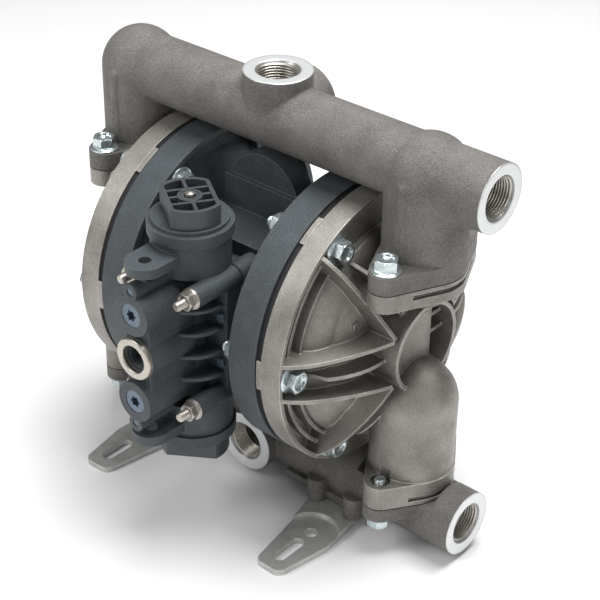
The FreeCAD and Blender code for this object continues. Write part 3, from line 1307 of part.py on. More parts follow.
for side_name, sign in SIDES:
    bolts, nuts = cover_fasteners(sign)
    label(group("%s_bolts" % side_name, bolts), "%s_cover_bolts" % side_name)
    label(group("%s_nuts" % side_name, nuts), "%s_cover_nuts" % side_name)


def flange_bolts(bolt_y, head_z, tip_z, up):
    """Four bolts of one manifold, tapped into the covers; up is the way the heads point."""
    bolt = flange_bolt(abs(head_z - tip_z), value_of("Dim.bolt_rad"), value_of("Dim.bolt_flange_rad"),
                       value_of("Dim.bolt_across_flats"))
    return [to_direction(bolt, x, y, head_z + 0.05 * up, Vector(0, 0, up))
            for x in (-value_of("Dim.leg_x"), value_of("Dim.leg_x")) for y in (-bolt_y, bolt_y)]


up_seam = value_of("Dim.seam_up_z")
low_seam = value_of("Dim.seam_low_z")
upper_bolts = flange_bolts(value_of("Dim.upper_bolt_y"), up_seam + value_of("Dim.upper_flange_thick"),
                           up_seam - value_of("Dim.upper_flange_thick") + 4, 1)
lower_bolts = flange_bolts(value_of("Dim.lower_bolt_y"), low_seam - value_of("Dim.lower_flange_thick"),
                           value_of("Dim.suction_bolt_tip_z"), -1)
label(group("upper_bolts", upper_bolts), "discharge_bolts")
label(group("lower_bolts", lower_bolts), "suction_bolts")


def foot_outline():
    """Plan of the right foot, drawn once for the front and once for the back."""
    half = [
        ("Dim.foot_root_out", "Dim.foot_root_y"),
        ("Dim.foot_shoulder_out", "Dim.foot_shoulder_y"),
        ("Dim.foot_waist_out", "Dim.foot_waist_y"),
        ("Dim.foot_x + Dim.foot_tip_half", "Dim.foot_tip_y - Dim.foot_corner"),
        ("Dim.foot_x + Dim.foot_tip_half - Dim.foot_corner", "Dim.foot_tip_y", "-Dim.foot_corner"),
        ("Dim.foot_x - Dim.foot_tip_half + Dim.foot_corner", "Dim.foot_tip_y"),
        ("Dim.foot_x - Dim.foot_tip_half", "Dim.foot_tip_y - Dim.foot_corner", "-Dim.foot_corner"),
        ("Dim.foot_shoulder_in", "Dim.foot_shoulder_y"),
        ("Dim.foot_root_in", "Dim.foot_root_y"),
    ]
    front = [("Dim.foot_root_in", "-Dim.foot_root_y"),
             ("Dim.foot_shoulder_in", "-Dim.foot_shoulder_y"),
             ("Dim.foot_x - Dim.foot_tip_half", "-Dim.foot_tip_y + Dim.foot_corner"),
             ("Dim.foot_x - Dim.foot_tip_half + Dim.foot_corner", "-Dim.foot_tip_y", "-Dim.foot_corner"),
             ("Dim.foot_x + Dim.foot_tip_half - Dim.foot_corner", "-Dim.foot_tip_y"),
             ("Dim.foot_x + Dim.foot_tip_half", "-Dim.foot_tip_y + Dim.foot_corner", "-Dim.foot_corner"),
             ("Dim.foot_waist_out", "-Dim.foot_waist_y"),
             ("Dim.foot_shoulder_out", "-Dim.foot_shoulder_y"),
             ("Dim.foot_root_out", "-Dim.foot_root_y")]
    return half + front


def right_foot():
    """Plate under both lugs, with a round hole and a slot at each end."""
    sole = plate("foot_sole", foot_outline(), "Dim.foot_thick", "0")
    root = common(plate("foot_root", foot_outline(), "Dim.foot_root_z - 0.05", "0"),
                  block("100", "2 * Dim.foot_step_y", "20", "Dim.foot_x", "0", "0"))
    saddle = block("100", "34", "10", "Dim.foot_x", "0", "Dim.foot_thick")
    tools = [saddle]
    for sign in ("", "-"):
        tools.append(cylinder("Dim.spot_face_rad", "10", "Dim.foot_x", "%sDim.foot_hole_y" % sign,
                              "Dim.foot_thick"))
        tools.append(cylinder("Dim.foot_hole_rad", "20", "Dim.foot_x", "%sDim.foot_hole_y" % sign, "-1"))
        tools.append(block("2 * Dim.slot_half_wide", "2 * (Dim.slot_half_len - Dim.slot_half_wide)", "20",
                           "Dim.foot_x", "%sDim.slot_y" % sign, "-1"))
        for end in ("+", "-"):
            tools.append(cylinder("Dim.slot_half_wide", "20", "Dim.foot_x",
                                  "%sDim.slot_y %s (Dim.slot_half_len - Dim.slot_half_wide)" % (sign, end),
                                  "-1"))
        for lug in ("Dim.foot_screw_in", "Dim.foot_screw_out"):
            tools.append(cone("Dim.foot_screw_rad + 3.4", "Dim.foot_screw_rad + Dim.fit", "3", lug,
                              "%sDim.lug_y" % sign, "0"))
            tools.append(cylinder("Dim.foot_screw_rad + Dim.fit", "20", lug, "%sDim.lug_y" % sign, "-1"))
    return cut(fuse([sole, root]), tools)


right_sole = label(right_foot(), "right_foot")
label(mirror(right_sole, (1, 0, 0)), "left_foot")


def foot_screws():
    """Countersunk screws from below, one in each lug."""
    rad = value_of("Dim.foot_screw_rad")
    head = Part.makeCone(rad + 2.8, rad, 2.6, Vector(0, 0, 0.4))
    shank = Part.makeCylinder(rad, 14, Vector(0, 0, 2))
    screw = head.fuse(shank).removeSplitter()
    spots = []
    for x in ("Dim.foot_screw_in", "Dim.foot_screw_out"):
        for sx in (-1, 1):
            for sy in (-1, 1):
                copy = screw.copy()
                copy.Placement = Placement(Vector(sx * value_of(x), sy * value_of("Dim.lug_y"), 0),
                                           Rotation())
                spots.append(copy)
    return group("sole_screws", spots)


label(foot_screws(), "foot_screws")


def check_and_export():
    """Check every object and write one file per sub-part."""
    doc.recompute()
    for thing in doc.Objects:
        if "Invalid" in thing.State or "Error" in thing.State:
            raise RuntimeError("%s failed" % thing.Name)
    os.makedirs("parts", exist_ok=True)
    for name, thing in finished:
        shape = thing.Shape
        if shape.isNull() or not shape.isValid():
            raise RuntimeError("%s has no valid shape" % name)
        shape.exportStep("parts/%s.step" % name)
        box = shape.BoundBox
        print("%-22s solids %d  x %.1f %.1f  y %.1f %.1f  z %.1f %.1f" % (
            name, len(shape.Solids), box.XMin, box.XMax, box.YMin, box.YMax, box.ZMin, box.ZMax))


check_and_export()
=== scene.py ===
"""Looks of an air operated diaphragm pump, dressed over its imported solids."""

import json
import logging
import math
from dataclasses import dataclass, field
from enum import Enum

import bmesh
import bpy
from mathutils import Matrix, Vector

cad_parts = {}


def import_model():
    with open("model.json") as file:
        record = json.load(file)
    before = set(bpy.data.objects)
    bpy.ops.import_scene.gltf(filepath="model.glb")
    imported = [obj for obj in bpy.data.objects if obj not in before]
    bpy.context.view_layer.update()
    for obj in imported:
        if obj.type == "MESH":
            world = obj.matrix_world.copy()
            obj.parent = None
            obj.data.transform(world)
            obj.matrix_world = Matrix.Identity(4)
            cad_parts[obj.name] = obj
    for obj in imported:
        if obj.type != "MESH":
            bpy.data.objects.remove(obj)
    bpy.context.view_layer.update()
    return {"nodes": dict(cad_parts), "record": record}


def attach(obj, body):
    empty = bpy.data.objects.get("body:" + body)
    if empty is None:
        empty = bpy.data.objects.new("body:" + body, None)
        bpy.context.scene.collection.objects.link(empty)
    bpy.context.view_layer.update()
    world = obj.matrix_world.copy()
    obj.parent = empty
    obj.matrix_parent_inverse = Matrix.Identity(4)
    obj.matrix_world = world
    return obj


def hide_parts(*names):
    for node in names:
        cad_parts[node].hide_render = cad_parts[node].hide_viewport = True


LOG = logging.getLogger("pump")
MM = 0.001
DARK_STEEL = "dark_steel"
DARK_STEEL_NODES = ("valve_plugs", "valve_set_screws", "valve_plate_screws")

Color = tuple[float, float, float]
Opaque = tuple[float, float, float, float]
Point = tuple[float, float, float]

# middles of the port faces, in metres
DISCHARGE_RIGHT: Point = (0.202, 0.0, 0.3185)
DISCHARGE_TOP: Point = (0.0015, 0.0, 0.354)
SUCTION_RIGHT: Point = (0.1985, 0.0, 0.0315)
SUCTION_FRONT: Point = (0.0, -0.036, 0.0315)
EXHAUST: Point = (0.0, 0.092, 0.175)
AIR_INLET: Point = (0.0, -0.1545, 0.175)

# metal that was cut after casting
CUT_FACE_TONE: Color = (0.74, 0.76, 0.755)
CUT_BORE_TONE: Color = (0.3, 0.3, 0.29)
CUT_ROUGHNESS = 0.32
CUT_METALLIC = 0.55
PORT_FACE_RAD = 0.0272
PORT_BORE_RAD = 0.0172
FACE_DEEP = 0.0004

# how the noises of a cast skin add up
MOTTLE_WEIGHT = 1.6
GRAIN_WEIGHT = 0.5
SWELL_WEIGHT = 0.8
PIT_WEIGHT = 0.35
MOTTLE_SPAN = (0.75, 1.35)
PIT_SPREAD = 0.22
PIT_REACH = 0.42

# how strongly the marks of a cast skin show: pores darkened as painted shade, light and dark sand grains,
# and edges lightened partly by rubbing and partly as a painted highlight
PIT_SHADE_COVER = 0.45
PIT_SHADE = 0.35
LIGHT_GRAINS = (0.56, 0.72)
LIGHT_SHADE = 1.9
DARK_GRAINS = (0.46, 0.3)
DARK_SHADE = 0.4
RUBBED_HIGHLIT_SPAN = (0.35, 1.0)
HEIGHT_GAIN = 8

# fasteners and tabs stand this many degrees apart round a cover
COVER_STEP = 60

# a direction whose z passes this lies along the Z axis
UPRIGHT = 0.999

# directions that lead into the ports on each side
INTO_RIGHT: Point = (-1.0, 0.0, 0.0)
INTO_TOP: Point = (0.0, 0.0, -1.0)
INTO_FRONT: Point = (0.0, 1.0, 0.0)
INTO_REAR: Point = (0.0, -1.0, 0.0)


class Axis(Enum):
    """Axes of the frame, by the place of their number in a point."""

    X = 0
    Y = 1
    Z = 2


# Finishes


def shade(color: Color, gain: float = 1.0, lift: float = 0.0) -> Opaque:
    """Opaque colour, made lighter or darker.

    Args:
        color: The colour to start from.
        gain: What each channel is multiplied by.
        lift: What is then added to each channel.

    Returns:
        The new colour.
    """
    return (*[min(1.0, gain * c + lift) for c in color], 1.0)


class NodeTree:
    """Short words for adding and joining the nodes of one tree."""

    def __init__(self, tree: bpy.types.NodeTree) -> None:
        """Keeps the tree.

        Args:
            tree: The node tree that nodes are added to.
        """
        self.tree = tree

    def add(self, kind: str, **values: object) -> bpy.types.Node:
        """Adds a node and sets its properties and inputs.

        Args:
            kind: The node's type name without its ShaderNode prefix.
            **values: Properties by name, or inputs by name with _ for spaces.

        Returns:
            The new node.
        """
        node = self.tree.nodes.new("ShaderNode" + kind)
        for name, value in values.items():
            if hasattr(node, name):
                setattr(node, name, value)
            else:
                self.feed(node.inputs[name.replace("_", " ")], value)
        return node

    def feed(self, socket: bpy.types.NodeSocket, value: object) -> None:
        """Joins a socket to another, or gives it a plain value.

        Args:
            socket: The input.
            value: An output socket, a number or a colour.
        """
        if isinstance(value, bpy.types.NodeSocket):
            self.tree.links.new(value, socket)
        else:
            socket.default_value = value

    def math(self, kind: str, first: object, second: object = 0.0) -> bpy.types.NodeSocket:
        """Result of a Math node on two values.

        Args:
            kind: The node's operation.
            first: The first number or socket.
            second: The second number or socket.

        Returns:
            The result.
        """
        node = self.add("Math", operation=kind)
        self.feed(node.inputs[0], first)
        self.feed(node.inputs[1], second)
        return node.outputs[0]

    def blend(self, mask: object, low: object, high: object) -> bpy.types.NodeSocket:
        """Colour that goes from low to high as the mask rises.

        Args:
            mask: Zero for low and one for high.
            low: The first colour.
            high: The second colour.

        Returns:
            The mixed colour.
        """
        node = self.add("Mix", data_type="RGBA")
        self.feed(node.inputs["Factor"], mask)
        self.feed(node.inputs[6], low)
        self.feed(node.inputs[7], high)
        return node.outputs[2]

    def ramp(self, value: object, low: object, high: object, to_low: float = 0.0, to_high: float = 1.0
             ) -> bpy.types.NodeSocket:
        """Clamped linear step between two values.

        Args:
            value: The number or socket to follow.
            low: Where the step starts.
            high: Where the step ends.
            to_low: The result at its start.
            to_high: The result at its end.

        Returns:
            The stepped value.
        """
        node = self.add("MapRange", clamp=True)
        for name, number in (("Value", value), ("From Min", low), ("From Max", high),
                             ("To Min", to_low), ("To Max", to_high)):
            self.feed(node.inputs[name], number)
        return node.outputs[0]


def new_material(name: str) -> tuple[bpy.types.Material, NodeTree, bpy.types.Node]:
    """Makes a material whose shader still has its defaults.

    Args:
        name: The material's name.

    Returns:
        The material, its tree's helper and its shader.
    """
    material = bpy.data.materials.new(name)
    material.use_nodes = True
    return material, NodeTree(material.node_tree), material.node_tree.nodes["Principled BSDF"]


class SkinGroups:
    """Node groups that several finishes share."""

    def __init__(self) -> None:
        """Builds each group once."""
        self.edges = self.build_edges()
        self.cast = self.build_cast()

    @staticmethod
    def start(name: str, inputs: dict[str, float], outputs: dict[str, str]
              ) -> tuple[NodeTree, bpy.types.NodeOutputs, bpy.types.NodeInputs]:
        """Makes an empty group.

        Args:
            name: The group's name.
            inputs: Input names with their defaults.
            outputs: Output names with their socket types.

        Returns:
            The tree's helper, the sockets that give its inputs and the sockets that take its outputs.
        """
        tree = bpy.data.node_groups.new(name, "ShaderNodeTree")
        for title, default in inputs.items():
            socket = tree.interface.new_socket(title, in_out="INPUT", socket_type="NodeSocketFloat")
            socket.default_value = default
        for title, kind in outputs.items():
            tree.interface.new_socket(title, in_out="OUTPUT", socket_type=kind)
        source = tree.nodes.new("NodeGroupInput")
        sink = tree.nodes.new("NodeGroupOutput")
        return NodeTree(tree), source.outputs, sink.inputs

    def build_edges(self) -> bpy.types.NodeTree:
        """Rounded edge normals, and a mask of the edges, where rubbed wear and a painted highlight are put.

        Returns:
            The group.
        """
        nodes, given, out = self.start("rubbed_highlit_edges", {"Radius": 0.0012, "Gain": 6.0},
                                       {"Mask": "NodeSocketFloat", "Normal": "NodeSocketVector"})
        bevel = nodes.add("Bevel", samples=6, Radius=given["Radius"])
        plain = nodes.add("NewGeometry")
        dot = nodes.add("VectorMath", operation="DOT_PRODUCT")
        nodes.feed(dot.inputs[0], bevel.outputs[0])
        nodes.feed(dot.inputs[1], plain.outputs["Normal"])
        bend = nodes.math("SUBTRACT", 1.0, dot.outputs["Value"])
        gained = nodes.add("Math", operation="MULTIPLY", use_clamp=True)
        nodes.feed(gained.inputs[0], bend)
        nodes.feed(gained.inputs[1], given["Gain"])
        nodes.feed(out["Mask"], gained.outputs[0])
        nodes.feed(out["Normal"], bevel.outputs[0])
        return nodes.tree

    def build_cast(self) -> bpy.types.NodeTree:
        """Mottling, pores and grain of a cast skin, with sizes in metres.

        Returns:
            The group.
        """
        nodes, given, out = self.start("cast_skin", {"Grain": 0.0008, "Blotch": 0.02, "Pores": 0.3},
                                       {"Mottle": "NodeSocketFloat", "Pits": "NodeSocketFloat",
                                        "Sand": "NodeSocketFloat", "Height": "NodeSocketFloat"})
        place = nodes.add("TexCoord").outputs["Object"]
        blotch = nodes.add("TexNoise", Vector=place, Scale=nodes.math("DIVIDE", 1.0, given["Blotch"]),
                           Detail=5.0, Roughness=0.62)
        grain = nodes.add("TexNoise", Vector=place, Scale=nodes.math("DIVIDE", 1.0, given["Grain"]),
                          Detail=2.0, Roughness=0.5)
        cells = nodes.add("TexVoronoi", Vector=place,
                          Scale=nodes.math("DIVIDE", PIT_SPREAD, given["Grain"]))
        size = nodes.math("MULTIPLY", given["Pores"], PIT_REACH)
        pits = nodes.ramp(cells.outputs["Distance"], 0.0, size, 1.0, 0.0)
        low = nodes.math("MULTIPLY", blotch.outputs["Fac"], MOTTLE_WEIGHT)
        fine = nodes.math("MULTIPLY", grain.outputs["Fac"], GRAIN_WEIGHT)
        swell = nodes.math("MULTIPLY", blotch.outputs["Fac"], SWELL_WEIGHT)
        height = nodes.math("SUBTRACT", nodes.math("ADD", fine, swell),
                            nodes.math("MULTIPLY", pits, PIT_WEIGHT))
        nodes.feed(out["Mottle"], nodes.ramp(nodes.math("ADD", low, fine), *MOTTLE_SPAN))
        nodes.feed(out["Pits"], pits)
        nodes.feed(out["Sand"], grain.outputs["Fac"])
        nodes.feed(out["Height"], height)
        return nodes.tree


@dataclass(frozen=True)
class CutZone:
    """Round zone of a casting that was cut, with sizes in metres.

    It runs from its depth under the face out along its axis, or back along it where the depth is negative.
    """

    axis: Axis
    face: Point
    radius: float
    depth: float


@dataclass(frozen=True)
class CastFinish:
    """Cast metal skin with mottling, pores darkened as painted shade, and edges lightened partly by rubbing
    and partly as a painted highlight.
    """

    name: str
    dark: Color
    light: Color
    edge: Color
    metallic: float
    roughness: float
    grain: float = 0.0008
    blotch: float = 0.02
    pores: float = 0.3
    bump: float = 0.00012
    edge_radius: float = 0.0012
    edge_gain: float = 6.0
    speckle: float = 0.3
    duller: float = 0.08
    brighter: float = 0.06
    faces: tuple[CutZone, ...] = ()
    bores: tuple[CutZone, ...] = ()

    def build(self, groups: SkinGroups) -> bpy.types.Material:
        """Makes the material.

        Args:
            groups: The shared node groups.

        Returns:
            The new material.
        """
        material, nodes, shader = new_material(self.name)
        skin = nodes.add("Group", node_tree=groups.cast, Grain=self.grain, Blotch=self.blotch,
                         Pores=self.pores)
        edges = nodes.add("Group", node_tree=groups.edges, Radius=self.edge_radius, Gain=self.edge_gain)
        color = nodes.blend(skin.outputs["Mottle"], shade(self.dark), shade(self.light))
        # pores darkened: painted shade inside the pits
        color = nodes.blend(nodes.math("MULTIPLY", skin.outputs["Pits"], PIT_SHADE_COVER), color,
                            shade(self.dark, PIT_SHADE))
        light_grains = nodes.math("MULTIPLY", nodes.ramp(skin.outputs["Sand"], *LIGHT_GRAINS), self.speckle)
        dark_grains = nodes.math("MULTIPLY", nodes.ramp(skin.outputs["Sand"], *DARK_GRAINS), self.speckle)
        color = nodes.blend(light_grains, color, shade(self.light, LIGHT_SHADE))
        color = nodes.blend(dark_grains, color, shade(self.dark, DARK_SHADE))
        # edges lightened where the mottle allows: partly rubbed wear, partly a painted highlight
        wear_and_highlight_spread = nodes.ramp(skin.outputs["Mottle"], 0.0, 0.8, *RUBBED_HIGHLIT_SPAN)
        rub_and_highlight = nodes.math("MULTIPLY", edges.outputs["Mask"], wear_and_highlight_spread)
        color = nodes.blend(rub_and_highlight, color, shade(self.edge))
        rough = nodes.ramp(skin.outputs["Mottle"], 0.0, 1.0, self.roughness + self.duller,
                           self.roughness - self.brighter)
        metal: object = self.metallic
        height: object = skin.outputs["Height"]
        for zones, tone in ((self.faces, CUT_FACE_TONE), (self.bores, CUT_BORE_TONE)):
            if zones:
                mask = self.cut_mask(nodes, zones)
                color = nodes.blend(mask, color, shade(tone))
                rough = nodes.ramp(mask, 0.0, 1.0, rough, CUT_ROUGHNESS)
                metal = nodes.ramp(mask, 0.0, 1.0, metal, CUT_METALLIC)
                height = nodes.math("MULTIPLY", height, nodes.math("SUBTRACT", 1.0, mask))
        bump = nodes.add("Bump", Height=height, Normal=edges.outputs["Normal"])
        bump.inputs["Strength"].default_value = 1.0
        bump.inputs["Distance"].default_value = self.bump * HEIGHT_GAIN
        nodes.feed(shader.inputs["Base Color"], color)
        nodes.feed(shader.inputs["Roughness"], rough)
        nodes.feed(shader.inputs["Metallic"], metal)
        nodes.feed(shader.inputs["Normal"], bump.outputs[0])
        return material

    @staticmethod
    def cut_mask(nodes: NodeTree, zones: tuple[CutZone, ...]) -> bpy.types.NodeSocket:
        """Mask of zones that were cut after casting.

        Args:
            nodes: The material's tree.
            zones: The round zones.

        Returns:
            A mask that is one on the cut metal.
        """
        place = nodes.add("SeparateXYZ")
        nodes.feed(place.inputs[0], nodes.add("TexCoord").outputs["Object"])
        total: object = 0.0
        for zone in zones:
            along = zone.axis.value
            squares = [nodes.math("POWER", nodes.math("SUBTRACT", place.outputs[k], zone.face[k]), 2.0)
                       for k in range(3) if k != along]
            apart = nodes.math("SQRT", nodes.math("ADD", *squares))
            inside = nodes.math("LESS_THAN", apart, zone.radius)
            reach = nodes.math("SUBTRACT", place.outputs[along], zone.face[along])
            if zone.depth < 0:
                reach = nodes.math("MULTIPLY", reach, -1.0)
            deep = nodes.math("GREATER_THAN", reach, -abs(zone.depth))
            total = nodes.math("MAXIMUM", total, nodes.math("MULTIPLY", inside, deep))
        return total


@dataclass(frozen=True)
class MetalFinish:
    """Plated or turned metal with fine streaks, and edges lightened partly by rubbing and partly as a
    painted highlight.
    """

    name: str
    color: Color
    stain: Color
    roughness: float
    metallic: float = 0.9
    streak: float = 0.003
    edge_radius: float = 0.0005
    edge_gain: float = 5.0
    edge_cover: float = 0.6
    edge: Color = (0.8, 0.8, 0.78)
    stain_span: tuple[float, float] = (0.42, 0.68)
    dull_span: tuple[float, float] = (0.3, 0.7)
    duller: float = 0.1
    brighter: float = 0.05
    grains_per_metre: float = 1500.0
    bump: float = 0.00002

    def build(self, groups: SkinGroups) -> bpy.types.Material:
        """Makes the material.

        Args:
            groups: The shared node groups.

        Returns:
            The new material.
        """
        material, nodes, shader = new_material(self.name)
        place = nodes.add("TexCoord").outputs["Object"]
        cloud = nodes.add("TexNoise", Vector=place, Scale=1.0 / self.streak, Detail=4.0, Roughness=0.6)
        fine = nodes.add("TexNoise", Vector=place, Scale=self.grains_per_metre, Detail=1.0)
        edges = nodes.add("Group", node_tree=groups.edges, Radius=self.edge_radius, Gain=self.edge_gain)
        stained = nodes.ramp(cloud.outputs["Fac"], *self.stain_span)
        color = nodes.blend(stained, shade(self.color), shade(self.stain))
        # edges lightened: partly rubbed wear, partly a painted highlight
        rub_and_highlight = nodes.math("MULTIPLY", edges.outputs["Mask"], self.edge_cover)
        color = nodes.blend(rub_and_highlight, color, shade(self.edge))
        rough = nodes.ramp(cloud.outputs["Fac"], *self.dull_span, self.roughness - self.brighter,
                           self.roughness + self.duller)
        bump = nodes.add("Bump", Height=fine.outputs["Fac"], Normal=edges.outputs["Normal"])
        bump.inputs["Distance"].default_value = self.bump
        nodes.feed(shader.inputs["Base Color"], color)
        nodes.feed(shader.inputs["Roughness"], rough)
        shader.inputs["Metallic"].default_value = self.metallic
        nodes.feed(shader.inputs["Normal"], bump.outputs[0])
        return material


@dataclass(frozen=True)
class PlainFinish:
    """Moulded rubber or plastic with a fine grain."""

    name: str
    color: Color
    roughness: float
    grain: float = 0.0012
    blotch: float = 0.012
    pores: float = 0.15
    edge_radius: float = 0.0006
    edge_gain: float = 3.0
    edge_shade: float = 1.8
    edge_lift: float = 0.008
    dark_shade: float = 0.85
    rough_spread: float = 0.06
    bump: float = 0.0002

    def build(self, groups: SkinGroups) -> bpy.types.Material:
        """Makes the material.

        Args:
            groups: The shared node groups.

        Returns:
            The new material.
        """
        material, nodes, shader = new_material(self.name)
        skin = nodes.add("Group", node_tree=groups.cast, Grain=self.grain, Blotch=self.blotch,
                         Pores=self.pores)
        edges = nodes.add("Group", node_tree=groups.edges, Radius=self.edge_radius, Gain=self.edge_gain)
        color = nodes.blend(skin.outputs["Mottle"], shade(self.color, self.dark_shade), shade(self.color))
        # edges lightened: partly wear, partly a painted highlight
        color = nodes.blend(edges.outputs["Mask"], color, shade(self.color, self.edge_shade, self.edge_lift))
        rough = nodes.ramp(skin.outputs["Mottle"], 0.0, 1.0, self.roughness - self.rough_spread,
                           self.roughness + self.rough_spread)
        bump = nodes.add("Bump", Height=skin.outputs["Height"], Normal=edges.outputs["Normal"])
        bump.inputs["Distance"].default_value = self.bump
        nodes.feed(shader.inputs["Base Color"], color)
        nodes.feed(shader.inputs["Roughness"], rough)
        nodes.feed(shader.inputs["Normal"], bump.outputs[0])
        return material


@dataclass
class FinishSet:
    """Every finish of the pump, by the record's material slots."""

    groups: SkinGroups = field(default_factory=SkinGroups)
    made: dict[str, bpy.types.Material] = field(default_factory=dict)

    def recipes(self) -> dict[str, CastFinish | MetalFinish | PlainFinish]:
        """Lists the finish of each material slot.

        Returns:
            The finishes by slot.
        """
        faces = (
            CutZone(Axis.X, DISCHARGE_RIGHT, PORT_FACE_RAD, FACE_DEEP),
            CutZone(Axis.Z, DISCHARGE_TOP, PORT_FACE_RAD, FACE_DEEP),
            CutZone(Axis.X, SUCTION_RIGHT, PORT_FACE_RAD, FACE_DEEP),
            CutZone(Axis.Y, SUCTION_FRONT, PORT_FACE_RAD, -FACE_DEEP),
        )
        bores = (
            CutZone(Axis.X, DISCHARGE_RIGHT, PORT_BORE_RAD, 0.03),
            CutZone(Axis.Z, DISCHARGE_TOP, PORT_BORE_RAD, 0.022),
            CutZone(Axis.X, SUCTION_RIGHT, PORT_BORE_RAD, 0.03),
            CutZone(Axis.Y, SUCTION_FRONT, PORT_BORE_RAD, -0.012),
        )
        return {
            "sand_cast": CastFinish(
                "sand_cast", dark=(0.125, 0.118, 0.11), light=(0.2, 0.19, 0.178), edge=(0.3, 0.29, 0.275),
                metallic=0.3, roughness=0.56, grain=0.0007, blotch=0.03, pores=0.42, bump=0.0002,
                edge_radius=0.0032, edge_gain=2.5, speckle=0.6, faces=faces, bores=bores),
            "die_cast": CastFinish(
                "die_cast", dark=(0.2, 0.188, 0.17), light=(0.34, 0.325, 0.298), edge=(0.66, 0.64, 0.6),
                metallic=0.62, roughness=0.42, grain=0.0008, blotch=0.035, pores=0.2, bump=0.0001,
                edge_gain=7.0, speckle=0.2),
            "slate_casting": CastFinish(
                "slate_casting", dark=(0.042, 0.05, 0.056), light=(0.062, 0.073, 0.081),
                edge=(0.13, 0.145, 0.155), metallic=0.15, roughness=0.5, grain=0.0009, blotch=0.03,
                pores=0.25, bump=0.00016, speckle=0.45),
            "zinc_steel": MetalFinish(
                "zinc_steel", color=(0.62, 0.69, 0.7), stain=(0.55, 0.62, 0.63), roughness=0.26,
                streak=0.005),
            "stainless": MetalFinish(
                "stainless", color=(0.5, 0.47, 0.42), stain=(0.42, 0.39, 0.35), roughness=0.3),
            DARK_STEEL: MetalFinish(
                DARK_STEEL, color=(0.14, 0.18, 0.23), stain=(0.1, 0.13, 0.17), roughness=0.34,
                metallic=0.6, edge=(0.3, 0.35, 0.4)),
            "galvanised": MetalFinish(
                "galvanised", color=(0.58, 0.58, 0.565), stain=(0.46, 0.46, 0.445), roughness=0.4,
                metallic=0.6, streak=0.012, edge_radius=0.0012, edge=(0.75, 0.75, 0.72)),
            "black_rubber": PlainFinish("black_rubber", color=(0.006, 0.006, 0.007), roughness=0.75),
            "ptfe": PlainFinish("ptfe", color=(0.78, 0.78, 0.76), roughness=0.4),
            "black_plastic": PlainFinish("black_plastic", color=(0.05, 0.057, 0.064), roughness=0.42),
            "bronze": MetalFinish(
                "bronze", color=(0.5, 0.34, 0.16), stain=(0.33, 0.22, 0.1), roughness=0.35),
        }

    def build(self) -> None:
        """Makes every material."""
        for slot, recipe in self.recipes().items():
            self.made[slot] = recipe.build(self.groups)

    def dress(self, thing: bpy.types.Object, slot: str) -> None:
        """Gives an object the finish of one slot."""
        thing.data.materials.clear()
        thing.data.materials.append(self.made[slot])


# Pieces


def lay(points: list[Vector], axis: Vector, origin: Point) -> list[Vector]:
    """Lays points drawn about +Z along another direction.

    Args:
        points: Points about +Z, in metres.
        axis: The direction that +Z becomes.
        origin: Where the drawing's origin goes.

    Returns:
        The moved points.
    """
    if abs(axis.z) < UPRIGHT:
        turn = axis.to_track_quat("Z", "Y").to_matrix()
    elif axis.z > 0:
        turn = Matrix.Identity(3)
    else:
        turn = Matrix.Rotation(math.pi, 3, "X")
    return [turn @ p + Vector(origin) for p in points]


class MeshKit:
    """Gathers closed shells into the mesh of one piece."""

    def __init__(self, name: str) -> None:
        """Starts an empty piece.

        Args:
            name: The piece's name.
        """
        self.name = name
        self.shape = bmesh.new()

    def grid(self, rows: list[list[Vector]], looped: bool = False) -> None:
        """Adds a closed shell from rings of equal length.

        Args:
            rows: Rings of points in order along the shell.
            looped: Joins the last ring to the first, where the two ends are otherwise filled.
        """
        rings = [[self.shape.verts.new(p) for p in row] for row in rows]
        count = len(rows[0])
        faces = []
        for low, high in zip(rings, rings[1:] + rings[:1] if looped else rings[1:]):
            for k in range(count):
                after = (k + 1) % count
                faces.append(self.shape.faces.new((low[k], low[after], high[after], high[k])))
        if not looped:
            faces.append(self.shape.faces.new(list(reversed(rings[0]))))
            faces.append(self.shape.faces.new(rings[-1]))
        bmesh.ops.recalc_face_normals(self.shape, faces=faces)

    def finish(self, finishes: FinishSet, slot: str, body: str, stands_for: tuple[str, ...] = ()) -> None:
        """Turns the shells into an object that rides on a body.

        Args:
            finishes: The finishes by slot.
            slot: The material slot.
            body: The body that the piece rides on.
            stands_for: CAD nodes that the piece replaces.
        """
        mesh = bpy.data.meshes.new(self.name)
        self.shape.to_mesh(mesh)
        self.shape.free()
        thing = bpy.data.objects.new(self.name, mesh)
        bpy.context.scene.collection.objects.link(thing)
        finishes.dress(thing, slot)
        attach(thing, body)
        if stands_for:
            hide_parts(*stands_for)
        LOG.info("%s: %d faces", self.name, len(mesh.polygons))


def hex_reach(angle: float, across_flats: float) -> float:
    """Distance from the middle of a hexagon to its edge at an angle, with a corner at zero."""
    turn = (angle + math.pi / 6) % (math.pi / 3) - math.pi / 6
    return across_flats / 2 / math.cos(math.pi / 6 - abs(turn))


